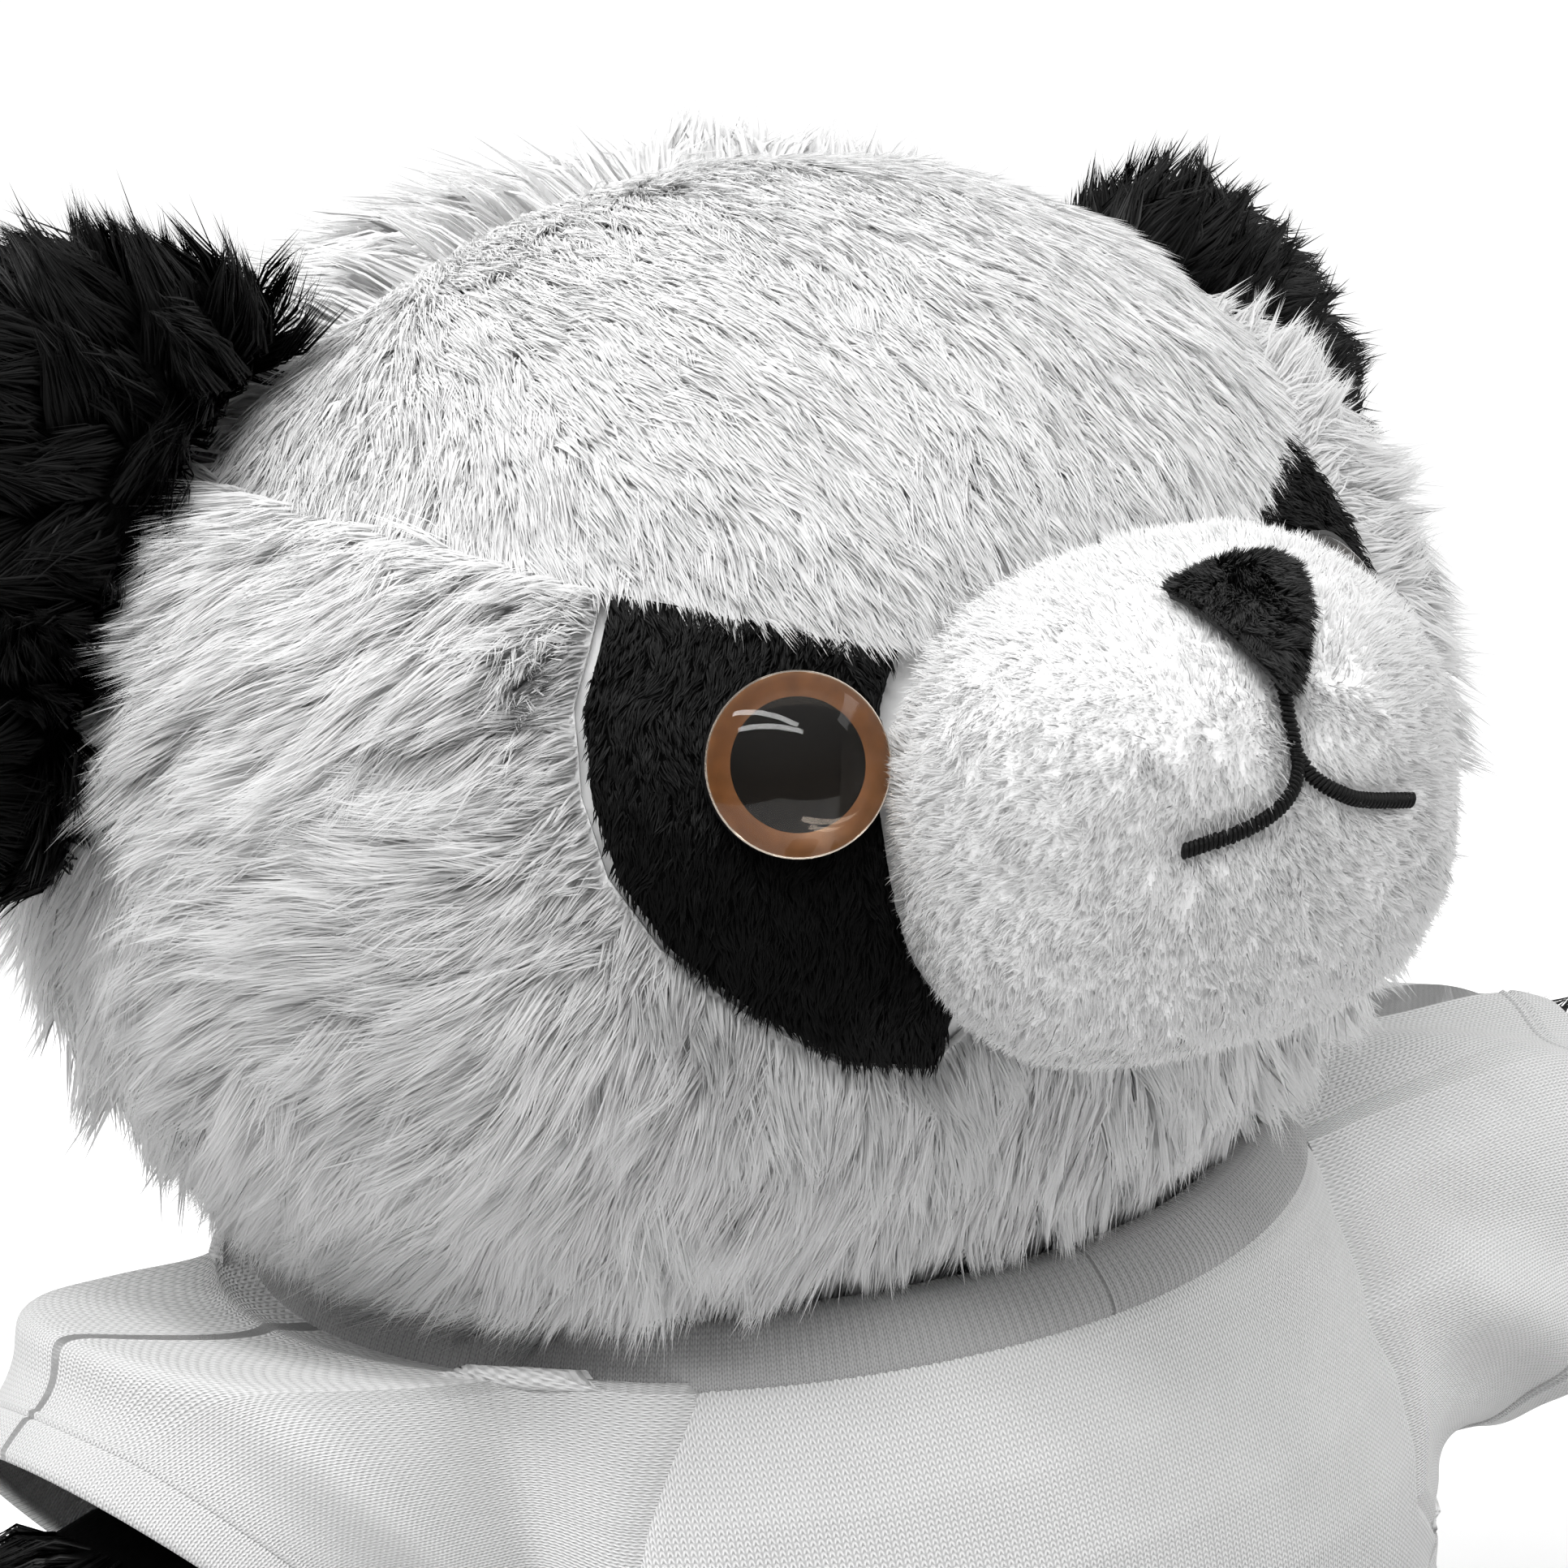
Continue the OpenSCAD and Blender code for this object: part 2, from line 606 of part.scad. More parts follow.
function panel_angle(z) = acos(min(1, (seam_forward(z) + 0.5) / shirt_half(z, shirt_b, 0)));
function on_shirt(a, z, off) =
  [shirt_half(z, shirt_a, off) * sin(a), -shirt_half(z, shirt_b, off) * cos(a), z];
function on_panel(s, t, off, turn) =
  let (z = mix(shirt_hem_height + hem_height + 0.3, shirt_top - 0.3, t))
  on_shirt(turn + mix(-1, 1, s) * panel_angle(z), z, off);
module shirt_panel(turn) {
  color(cotton) patch(16, 12,
    function(s, t) on_panel(s, t, knit, turn), function(s, t) on_panel(s, t, 0, turn));
}
module shirt_front() { shirt_panel(0); }
module shirt_back() { shirt_panel(180); }
module shirt_hem_band() {
  color(cotton) tube(32, 2,
    function(s, t) on_shirt(360 * s, mix(shirt_hem_height, shirt_hem_height + hem_height, t), knit),
    function(s, t) on_shirt(360 * s, mix(shirt_hem_height, shirt_hem_height + hem_height, t), 0));
}
module collar_rib() {
  lean = 33;
  where = function(s, t, off)
    let (r = collar_r + off - collar_height * sin(lean) * t)
    [r * sin(360 * s), -r * cos(360 * s), shirt_top + collar_height * cos(lean) * t];
  color(rib) tube(36, 2, function(s, t) where(s, t, knit + 0.3), function(s, t) where(s, t, 0));
}
function sleeve_root(s, off) =
  let (
    h = s < 0.5 ? 2 * s : 2 - 2 * s,
    p = seam_at(h),
    y = (s < 0.5 ? -1 : 1) * p[0],
    q = y / shirt_half(p[1], shirt_b, 0)
  )
  [shirt_half(p[1], shirt_a, off) * sqrt(max(0, 1 - q * q)), y, p[1]];
function arm_axis(slope) = [cos(6) * cos(slope), -sin(6) * cos(slope), -sin(slope)];
function sleeve_point(slope, s, t, off) =
  let (
    d = arm_axis(slope),
    up = unit([d[0] * d[2] * -1, 0, d[0] * d[0]]),
    side = cross(d, up),
    h = s * 360,
    r = sleeve_diameter / 2 + off,
    o = [arm_pivot_x, arm_pivot_y, arm_pivot_z] + d * sleeve_length,
    rim = o + r * (up * cos(h) + side * sin(h)),
    mid = o - d * 15 + (r + 1) * (up * cos(h) + side * sin(h)),
    root = sleeve_root(s, off)
  )
  root * (1 - t) * (1 - t) + mid * 2 * t * (1 - t) + rim * t * t;
module sleeve_shape(slope, a, b, rings) {
  tube(28, rings, function(s, t) sleeve_point(slope, s, mix(a, b, t), knit),
    function(s, t) sleeve_point(slope, s, mix(a, b, t), 0));
}
module sleeve_left() { color(cotton) sleeve_shape(arm_slope_left, 0.03, 0.85, 6); }
module sleeve_right() { color(cotton) mirror([1, 0, 0]) sleeve_shape(arm_slope_right, 0.03, 0.85, 6); }
module sleeve_hem_left() { color(cotton) sleeve_shape(arm_slope_left, 0.865, 1, 1); }
module sleeve_hem_right() { color(cotton) mirror([1, 0, 0]) sleeve_shape(arm_slope_right, 0.865, 1, 1); }

head_stuffing();
crown_panel();
cheek_panel_left();
cheek_panel_right();
chin_panel();
head_back_left();
head_back_right();
muzzle_cover();
muzzle_stuffing();
nose();
mouth();
eye_patch_left();
eye_patch_right();
eye_lens_left();
eye_lens_right();
eye_iris_left();
eye_iris_right();
eye_pupil_left();
eye_pupil_right();
eye_shank_left();
eye_shank_right();
eye_washer_left();
eye_washer_right();
ear_front_left();
ear_back_left();
ear_front_right();
ear_back_right();
neck_seam_band();
body_stuffing();
belly_panel();
back_panel();
seat_panel();
tail_cover();
tail_stuffing();
arm_outer_left();
arm_inner_left();
arm_outer_right();
arm_inner_right();
arm_stuffing_left();
arm_stuffing_right();
leg_top_left();
leg_under_left();
leg_top_right();
leg_under_right();
leg_stuffing_left();
leg_stuffing_right();
sole_left();
sole_right();
shirt_front();
shirt_back();
shirt_hem_band();
collar_rib();
sleeve_left();
sleeve_right();
sleeve_hem_left();
sleeve_hem_right();
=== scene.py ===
# %% [markdown]
# # A seated plush panda in a white T-shirt
# The toy is a set of sewn covers over loose filling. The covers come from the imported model:
# each one says where its cloth lies, and here it gets its real surface, which is mostly pile.

import itertools
import json
import math

import bmesh
import bpy
import numpy as np
from mathutils import Matrix, Vector
from mathutils.bvhtree import BVHTree

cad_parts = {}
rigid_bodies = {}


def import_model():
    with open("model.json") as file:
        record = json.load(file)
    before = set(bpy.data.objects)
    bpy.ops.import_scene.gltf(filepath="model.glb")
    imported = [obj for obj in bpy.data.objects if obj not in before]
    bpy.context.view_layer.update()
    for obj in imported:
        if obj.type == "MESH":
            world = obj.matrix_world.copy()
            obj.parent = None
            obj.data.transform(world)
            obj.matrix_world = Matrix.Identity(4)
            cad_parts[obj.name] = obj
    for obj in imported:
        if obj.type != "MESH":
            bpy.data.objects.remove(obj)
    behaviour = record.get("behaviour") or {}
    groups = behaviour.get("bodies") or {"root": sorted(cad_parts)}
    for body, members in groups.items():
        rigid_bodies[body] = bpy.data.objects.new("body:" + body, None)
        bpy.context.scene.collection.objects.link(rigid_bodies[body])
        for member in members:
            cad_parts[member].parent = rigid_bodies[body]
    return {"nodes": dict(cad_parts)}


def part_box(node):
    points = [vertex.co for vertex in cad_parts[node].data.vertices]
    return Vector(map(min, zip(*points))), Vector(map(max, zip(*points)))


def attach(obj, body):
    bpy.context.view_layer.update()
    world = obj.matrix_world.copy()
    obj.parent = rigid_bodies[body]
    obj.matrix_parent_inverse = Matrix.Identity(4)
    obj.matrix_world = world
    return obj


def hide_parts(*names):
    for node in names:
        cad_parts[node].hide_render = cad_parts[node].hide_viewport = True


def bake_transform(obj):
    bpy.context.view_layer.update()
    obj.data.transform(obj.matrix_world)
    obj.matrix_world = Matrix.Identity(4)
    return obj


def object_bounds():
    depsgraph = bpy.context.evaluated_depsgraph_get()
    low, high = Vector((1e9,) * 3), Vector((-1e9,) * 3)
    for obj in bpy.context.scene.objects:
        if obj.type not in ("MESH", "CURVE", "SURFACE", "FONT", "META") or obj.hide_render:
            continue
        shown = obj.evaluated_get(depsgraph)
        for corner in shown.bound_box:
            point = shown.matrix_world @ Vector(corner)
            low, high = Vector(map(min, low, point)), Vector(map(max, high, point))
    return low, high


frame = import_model()
cad_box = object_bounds()
MM = 0.001
print("nodes", len(frame["nodes"]), "box", cad_box)

# %% [markdown]
# The camera stands a little above the eye, in front of the near cheek, and is rolled a few degrees.
# It is placed from the middle of the head, which is the widest part of the toy.

# %% Measure the head and place the camera
CROWN_HEIGHT = 54.0 * MM
HEAD = np.array([0.0, 0.0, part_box("crown_panel")[1].z - CROWN_HEIGHT])
HALF = np.array([64.0, 58.0, 51.5]) * MM
print("head middle", HEAD)


def view_axes(turn, lift, roll):
    a, e, r = (math.radians(v) for v in (turn, lift, roll))
    back = Vector((math.sin(a) * math.cos(e), -math.cos(a) * math.cos(e), math.sin(e)))
    right = Vector((math.cos(a), math.sin(a), 0))
    up = back.cross(right)
    return right * math.cos(r) + up * math.sin(r), up * math.cos(r) - right * math.sin(r), back


def place_camera():
    right, up, back = view_axes(-34.3, 14.8, -5.8)
    data = bpy.data.cameras.new("camera")
    data.lens, data.sensor_width = 105.3, 36
    data.clip_start, data.clip_end = 0.02, 20
    cam = bpy.data.objects.new("camera", data)
    bpy.context.collection.objects.link(cam)
    at = Vector(HEAD) + right * 0.0050 - up * 0.0045 + back * 0.425
    cam.matrix_world = Matrix.Translation(at) @ Matrix((right, up, back)).transposed().to_4x4()
    bpy.context.scene.camera = cam
    print("camera at", tuple(round(v, 3) for v in at))


place_camera()

# %% [markdown]
# Shader maths reads like arithmetic here: a value that wraps a socket can be added, multiplied and
# subtracted, and each step becomes a Math node.


# %% A small language for materials
class Value:
    def __init__(self, tree, socket):
        self.tree, self.socket = tree, socket

    def node(self, kind, settings=None, inputs=None, out=0):
        n = self.tree.nodes.new(kind)
        for key, setting in (settings or {}).items():
            if key == "stops":
                ramp = n.color_ramp
                for k, (place, tone) in enumerate(setting):
                    stop = ramp.elements[k] if k < 2 else ramp.elements.new(place)
                    stop.position, stop.color = place, tone
            else:
                setattr(n, key, setting)
        for key, given in (inputs or {}).items():
            if isinstance(given, Value):
                self.tree.links.new(given.socket, n.inputs[key])
            else:
                n.inputs[key].default_value = given
        return Value(self.tree, n.outputs[out])

    def maths(self, operation, *others, flip=False):
        first, rest = (others[0], [self]) if flip else (self, list(others))
        values = [first, *rest]
        return self.node("ShaderNodeMath", {"operation": operation}, dict(enumerate(values)))

    def __add__(self, o):
        return self.maths("ADD", o)

    def __sub__(self, o):
        return self.maths("SUBTRACT", o)

    def __rsub__(self, o):
        return self.maths("SUBTRACT", o, flip=True)

    def __mul__(self, o):
        return self.maths("MULTIPLY", o)

    def clamp(self):
        return self.maths("MAXIMUM", 0.0).maths("MINIMUM", 1.0)

    def tint(self, dark, light):
        """A colour between dark and light, by this value."""
        return self.node("ShaderNodeMix", {"data_type": "RGBA"}, {0: self, 6: dark, 7: light}, out=2)


class Finish:
    def __init__(self, name, **fixed):
        self.material = bpy.data.materials.new(name)
        self.material.use_nodes = True
        self.tree = self.material.node_tree
        self.shader = self.tree.nodes["Principled BSDF"]
        self.start = Value(self.tree, None)
        self.set(**fixed)

    def set(self, **sockets):
        for key, given in sockets.items():
            socket = self.shader.inputs[key.replace("_", " ")]
            if isinstance(given, Value):
                self.tree.links.new(given.socket, socket)
            else:
                socket.default_value = given

    def place(self):
        return self.start.node("ShaderNodeTexCoord", out=3)

    def uv(self):
        return self.start.node("ShaderNodeUVMap", {"uv_map": "cloth"})

    def mark(self, name):
        return self.start.node("ShaderNodeAttribute", {"attribute_name": name}, out=2)

    def noise(self, scale, detail=2.0):
        inputs = {"Vector": self.place(), "Scale": scale, "Detail": detail}
        return self.start.node("ShaderNodeTexNoise", {}, inputs)

    def bump(self, height, strength, distance):
        inputs = {"Height": height, "Strength": strength, "Distance": distance}
        self.set(Normal=self.start.node("ShaderNodeBump", {}, inputs))

    def see_through(self, amount, colour):
        """Mixes in light that comes through from behind, as through a fibre."""
        thin = self.start.node("ShaderNodeBsdfTranslucent", {}, {"Color": colour})
        out = next(n for n in self.tree.nodes if n.type == "OUTPUT_MATERIAL")
        front = Value(self.tree, self.shader.outputs[0])
        both = self.start.node("ShaderNodeMixShader", {}, {0: amount, 1: front, 2: thin})
        self.tree.links.new(both.socket, out.inputs[0])


def grey(v):
    return (v, v, v, 1)


# %% [markdown]
# Long pile is polyester fibre. Each fibre is a little darker at its root, where others shade it, and
# no two are quite alike. Some light passes through white fibre, so its shadows stay soft and pale.


# %% Pile finishes
def pile_finish(name, root, tip, rough, through, gloss=0.3):
    f = Finish(name, Roughness=rough, Specular_IOR_Level=gloss)
    along, tone, tuft = f.mark("along"), f.mark("tone"), f.mark("tuft")
    # Darker towards the root: painted shade where the other fibres shade it; tone and tuft add random tone.
    mixed = (along * 0.8 + tone * 0.3 + tuft * 0.12 - 0.1).clamp()
    colour = mixed.tint(grey(root), grey(tip))
    f.set(Base_Color=colour)
    if through:
        f.see_through(through, colour)
    return f


def speckled(name, scale, dark, light, detail=2.0, **fixed):
    """A material whose colour wanders a little between two tones."""
    f = Finish(name, **fixed)
    f.set(Base_Color=f.noise(scale, detail).tint(dark, light))
    return f


def backing_finish(name, dark, light, scale=900.0, gloss=0.2):
    f = speckled(name, scale, grey(dark), grey(light), Roughness=0.9, Specular_IOR_Level=gloss)
    f.bump(f.noise(scale * 1.5), 0.5, 0.0004)
    return f


white_pile = pile_finish("white_pile", 0.70, 0.84, 0.7, 0.4)
white_velour = pile_finish("white_velour", 0.62, 0.80, 0.8, 0.3)
black_pile = pile_finish("black_pile", 0.0005, 0.004, 0.4, 0, 0.13)
black_velour = pile_finish("black_velour", 0.0005, 0.003, 0.45, 0, 0.09)
charcoal_velour = pile_finish("charcoal_velour", 0.01, 0.045, 0.8, 0, 0.1)
white_backing = backing_finish("white_backing", 0.80, 0.88)
black_backing = backing_finish("black_backing", 0.0005, 0.002, gloss=0.05)
charcoal_backing = backing_finish("charcoal_backing", 0.02, 0.05)
print("finishes", len(bpy.data.materials))

# %% [markdown]
# A cover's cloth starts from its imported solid. A copy is merged, its inner wall and its edges are
# removed, and a subdivision rounds it. What is left is the backing that the pile is knitted into.


# %% Take the outer cloth of a packed cover
def only(obj):
    bpy.ops.object.select_all(action="DESELECT")
    obj.select_set(True)
    bpy.context.view_layer.objects.active = obj


def edit(choice):
    bpy.ops.object.mode_set(mode="EDIT")
    bpy.ops.mesh.select_all(action=choice)


def cloth_of(node, name, rounds=1, facing=0.05, middle=None):
    obj = frame["nodes"][node].copy()
    obj.data = obj.data.copy()
    obj.name = obj.data.name = name
    for key in list(obj.keys()):
        del obj[key]
    obj.parent = None
    bpy.context.collection.objects.link(obj)
    obj.data.materials.clear()
    obj.hide_render = obj.hide_viewport = False
    only(obj)
    edit("SELECT")
    bpy.ops.mesh.remove_doubles(threshold=0.00002)
    bpy.ops.mesh.select_all(action="DESELECT")
    bm = bmesh.from_edit_mesh(obj.data)
    if middle is None:
        middle = sum((v.co for v in bm.verts), Vector()) / len(bm.verts)
    centre = Vector(middle)
    for face in bm.faces:
        out = face.calc_center_median() - centre
        face.select_set(face.normal.dot(out.normalized()) < facing)
    bmesh.update_edit_mesh(obj.data)
    bpy.ops.mesh.delete(type="FACE")
    bpy.ops.mesh.select_all(action="SELECT")
    bpy.ops.mesh.delete_loose()
    bpy.ops.mesh.select_all(action="SELECT")
    bpy.ops.mesh.tris_convert_to_quads(face_threshold=1.2, shape_threshold=1.2)
    bpy.ops.object.mode_set(mode="OBJECT")
    if rounds:
        subdivide(obj, rounds)
    return obj


def subdivide(obj, levels, simple=False):
    only(obj)
    m = obj.modifiers.new("round", "SUBSURF")
    m.levels = m.render_levels = levels
    m.subdivision_type = "SIMPLE" if simple else "CATMULL_CLARK"
    bpy.ops.object.modifier_apply(modifier=m.name)


def points_of(obj):
    co = np.empty(len(obj.data.vertices) * 3, np.float32)
    obj.data.vertices.foreach_get("co", co)
    return co.reshape(-1, 3).astype(float)


def set_points(obj, co):
    obj.data.vertices.foreach_set("co", co.astype(np.float32).ravel())
    obj.data.update()


def normals_of(obj):
    co = np.empty(len(obj.data.vertices) * 3, np.float32)
    obj.data.vertex_normals.foreach_get("vector", co)
    return co.reshape(-1, 3).astype(float)


def smooth(mesh):
    mesh.polygons.foreach_set("use_smooth", np.ones(len(mesh.polygons), bool))


def edge_points(obj):
    bm = bmesh.new()
    bm.from_mesh(obj.data)
    found = [(a.co + b.co) / 2 for e in bm.edges if e.is_boundary for a, b in [e.verts]]
    found += [v.co.copy() for v in bm.verts if v.is_boundary]
    bm.free()
    return np.array(found)


def nearest(points, others):
    """Distance from each point to the nearest of the others."""
    out = np.empty(len(points))
    for k in range(0, len(points), 4000):
        part = points[k : k + 4000]
        d = ((part[:, None, :] - others[None, :, :]) ** 2).sum(2)
        out[k : k + 4000] = np.sqrt(d.min(1))
    return out


def step(a, b, x):
    t = np.clip((x - a) / (b - a), 0, 1)
    return t * t * (3 - 2 * t)


def unit(v):
    return v / np.maximum(np.linalg.norm(v, axis=1, keepdims=True), 1e-9)


def waves(points, size, seed, parts=5):
    """Smooth, seeded, three-valued waviness, about -1 to 1, with features of the given size."""
    rng = np.random.default_rng(seed)
    total = np.zeros((len(points), 3))
    for _ in range(parts):
        pull = rng.normal(size=(3, 3)) * (1.6 / size)
        total += np.sin(points @ pull + rng.uniform(0, 6.28, 3))
    return total / math.sqrt(parts)


# %% [markdown]
# The fur is grown a fibre at a time: a root on the cloth, a lean along the nap, and a tip. Pile
# fibres cling together, so tips are drawn towards the middle of their lock, and locks towards the
# middle of their tuft. Each fibre is a narrow ribbon that lies flat along the coat and ends in a point.


# %% Grow pile on a cloth
def locks(points, size, seed):
    """Groups points into uneven cells of about the given size."""
    base = np.floor(points / size).astype(np.int64)
    best = np.full(len(points), np.inf)
    label = np.zeros(len(points), np.int64)
    for move in itertools.product((-1, 0, 1), repeat=3):
        c = base + np.array(move)
        h = (c[:, 0] * 73856093) ^ (c[:, 1] * 19349663) ^ (c[:, 2] * 83492791) ^ (seed * 2654435)
        h = (h * 1103515245 + 12345) & 0x7FFFFFFF
        jitter = np.stack([(h >> s & 1023) / 1023.0 for s in (0, 9, 19)], 1)
        d = (((c + jitter) * size - points) ** 2).sum(1)
        closer = d < best
        best[closer] = d[closer]
        label[closer] = h[closer]
    _, index = np.unique(label, return_inverse=True)
    return index


def group_mean(values, index):
    n = index.max() + 1
    count = np.bincount(index, minlength=n)[:, None]
    sums = np.stack([np.bincount(index, values[:, k], minlength=n) for k in range(values.shape[1])], 1)
    return (sums / count)[index]


def sow(obj, count, rng, keep=None):
    """Roots spread evenly over the cloth, with smooth normals."""
    mesh = obj.data
    mesh.calc_loop_triangles()
    tri = np.empty(len(mesh.loop_triangles) * 3, np.int32)
    mesh.loop_triangles.foreach_get("vertices", tri)
    tri = tri.reshape(-1, 3)
    co, no = points_of(obj), normals_of(obj)
    a, b, c = co[tri[:, 0]], co[tri[:, 1]], co[tri[:, 2]]
    area = np.linalg.norm(np.cross(b - a, c - a), axis=1)
    pick = rng.choice(len(tri), count, p=area / area.sum())
    u, v = rng.random(count), rng.random(count)
    over = u + v > 1
    u[over], v[over] = 1 - u[over], 1 - v[over]
    w = np.stack([1 - u - v, u, v], 1)[:, :, None]
    t = tri[pick]
    roots, normals = (co[t] * w).sum(1), unit((no[t] * w).sum(1))
    if keep is not None:
        stay = keep(roots)
        roots, normals = roots[stay], normals[stay]
    return roots, normals, area.sum() / 2


def grow(cloth, count, length, nap, lean=58, width=0.26, tuft=(5.0, 0.5, 0.35), lock=(1.5, 0.6), wild=0.12,
         seed=1, soft=0.6, finish=None, backing=None, keep=None, thick=0.8, unruly=0.0, bare=False, calm=1.0):
    """Grows a coat on a cloth and joins both in one piece. Lengths are in mm, lean in degrees.

    tuft is a size, how far tips are drawn together and how far the lean turns; lock is the first two
    on a smaller scale. wild is how unlike its neighbours each fibre is, soft how far a fibre is shaded
    like the cloth below it, and unruly the share of fibres that stand up.
    """
    rng = np.random.default_rng(seed)
    roots, normal, area = sow(cloth, count, rng, keep)
    n = len(roots)
    flow = nap(roots, normal)
    flow = unit(flow - (flow * normal).sum(1, keepdims=True) * normal)
    big, small = locks(roots, tuft[0] * MM, seed), locks(roots, lock[0] * MM, seed + 7)
    per_tuft = rng.normal(size=(big.max() + 1, 4))[big]
    per_lock = rng.normal(size=(small.max() + 1, 4))[small]
    long = (length(roots) if callable(length) else np.full(n, float(length))) * MM
    long = long * (1 + 0.10 * per_tuft[:, 3] + 0.08 * per_lock[:, 3] + 0.12 * rng.normal(size=n))
    long = np.maximum(long, 0.25 * MM)
    tilt = np.radians((lean(roots) if callable(lean) else lean) + calm * (9 * per_tuft[:, 0] + 6 * per_lock[:, 0])
                      + 60 * wild * rng.normal(size=n))
    tilt = np.clip(tilt, 0, math.radians(86))
    if unruly:
        odd = rng.random(n) < unruly
        tilt[odd] *= rng.uniform(0.2, 0.8, odd.sum())
        long[odd] *= rng.uniform(1.0, 1.35, odd.sum())
    side = np.cross(normal, flow)
    turn = tuft[2] * per_tuft[:, 1] + 0.2 * per_lock[:, 1] + wild * 1.5 * rng.normal(size=n)
    way = unit(flow * np.cos(turn)[:, None] + side * np.sin(turn)[:, None])
    aim = normal * np.cos(tilt)[:, None] + way * np.sin(tilt)[:, None]
    tip = roots + aim * long[:, None]
    if lock[1]:
        tip += lock[1] * (group_mean(tip, small) - tip)
    if tuft[1]:
        tip += tuft[1] * (group_mean(tip, big) - tip)
    tip = roots + unit(tip - roots) * long[:, None]
    rise = np.cos(tilt * 0.45)[:, None]
    knee = roots + (normal * rise + way * np.sin(tilt * 0.45)[:, None]) * (0.42 * long[:, None])
    knee += way * 0.06 * long[:, None]
    twist = rng.normal(0, 0.7, n)
    wide = width * MM * (1 + 0.25 * rng.normal(size=n)).clip(0.4, 1.8)
    rings, alongs, facing = [], [], []
    for t in (0, 0.5):
        p = roots * (1 - t) ** 2 + knee * 2 * t * (1 - t) + tip * t * t
        d = unit((knee - roots) * (1 - t) + (tip - knee) * t)
        e1 = unit(np.cross(d, normal))
        e2 = np.cross(d, e1)
        across = e1 * np.cos(twist)[:, None] + e2 * np.sin(twist)[:, None]
        half = (0.5 * wide * (1 - 0.55 * t))[:, None]
        rings += [p - across * half, p + across * half]
        alongs += [np.full(n, t)] * 2
        own = np.cross(across, d)
        own *= np.sign((own * normal).sum(1, keepdims=True) + 1e-9)
        facing += [unit(normal * soft + own * (1 - soft) + across * k) for k in (-0.25, 0.25)]
    rings.append(tip)
    alongs.append(np.ones(n))
    facing.append(facing[-1])
    per = len(rings)
    co, facing = np.stack(rings, 1).reshape(-1, 3), np.stack(facing, 1).reshape(-1, 3)
    along = np.stack(alongs, 1).ravel()
    tone = np.repeat(rng.random(n), per)
    tuft_tone = np.repeat(np.clip(0.5 + 0.3 * per_tuft[:, 2] + 0.2 * per_lock[:, 2], 0, 1), per)
    first = (np.arange(n) * per)[:, None]
    square, point = [0, 1, 3, 2], [2, 3, 4]
    loops = (first + np.array(square + point)[None, :]).ravel()
    sizes = np.tile([len(square), len(point)], n)
    if thick:
        solid(cloth, thick * MM)
    if bare:
        cloth.data.clear_geometry()
    mesh = join_mesh(cloth, co, facing, loops, sizes, along, tone, tuft_tone)
    name = cloth.name
    old = cloth.data
    cloth.data = mesh
    bpy.data.meshes.remove(old)
    mesh.name = name
    mesh.materials.append((backing or white_backing).material)
    mesh.materials.append((finish or white_pile).material)
    tris = int((sizes - 2).sum())
    print(f"{name}: {n} fibres on {area * 1e6:.0f} mm2, {tris} triangles")
    return cloth


def solid(obj, thickness):
    only(obj)
    m = obj.modifiers.new("wall", "SOLIDIFY")
    m.thickness, m.offset = thickness, -1
    bpy.ops.object.modifier_apply(modifier=m.name)


def join_mesh(cloth, co, facing, loops, sizes, along, tone, tuft):
    base = cloth.data
    base_co, base_no = points_of(cloth), normals_of(cloth)
    nb = len(base_co)
    bl = np.empty(len(base.loops), np.int32)
    base.loops.foreach_get("vertex_index", bl)
    bs = np.empty(len(base.polygons), np.int32)
    base.polygons.foreach_get("loop_total", bs)
    all_co = np.concatenate([base_co, co])
    all_loops = np.concatenate([bl, loops + nb]).astype(np.int32)
    all_sizes = np.concatenate([bs, sizes]).astype(np.int32)
    starts = np.concatenate([[0], np.cumsum(all_sizes)[:-1]]).astype(np.int32)
    mesh = bpy.data.meshes.new("coat")
    mesh.vertices.add(len(all_co))
    mesh.vertices.foreach_set("co", all_co.astype(np.float32).ravel())
    mesh.loops.add(len(all_loops))
    mesh.loops.foreach_set("vertex_index", all_loops)
    mesh.polygons.add(len(all_sizes))
    mesh.polygons.foreach_set("loop_start", starts)
    smooth(mesh)
    which = np.concatenate([np.zeros(len(bs)), np.ones(len(sizes))]).astype(np.int32)
    mesh.polygons.foreach_set("material_index", which)
    for key, values in (("along", along), ("tone", tone), ("tuft", tuft)):
        attribute = mesh.attributes.new(key, "FLOAT", "POINT")
        attribute.data.foreach_set("value", np.concatenate([np.full(nb, 0.3), values]).astype(np.float32))
    mesh.update(calc_edges=True)
    mesh.normals_split_custom_set_from_vertices(np.concatenate([base_no, facing]))
    return mesh


def finish_piece(obj, body, nodes):
    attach(obj, body)
    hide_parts(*nodes)


# %% [markdown]
# The head is a rounded ball, longer from side to side than from front to back. Its covers meet in
# seams, where the cloth dips, and stand a little proud between them, as stuffed cloth does.


# %% Head cloth
def on_head(points, above):
    u = unit((points - HEAD) / HALF)
    return HEAD + u * (HALF + np.asarray(above)[:, None])


def head_cloth(node, name, rounds=1, plump=1.2, base=0.4, sink=0.0):
    obj = cloth_of(node, name, 0, 0.5, HEAD)
    subdivide(obj, rounds, simple=True)
    co = points_of(obj)
    near = nearest(co, edge_points(obj))
    lift = (base + plump * step(0, 11 * MM, near)) * MM
    lift += 0.35 * MM * waves(co, 14 * MM, 3)[:, 0] * step(0, 8 * MM, near)
    if sink:
        lift -= sink * MM * (1 - step(0, 1.6 * MM, nearest(co, every_rim)))
    set_points(obj, on_head(co, lift))
    return obj


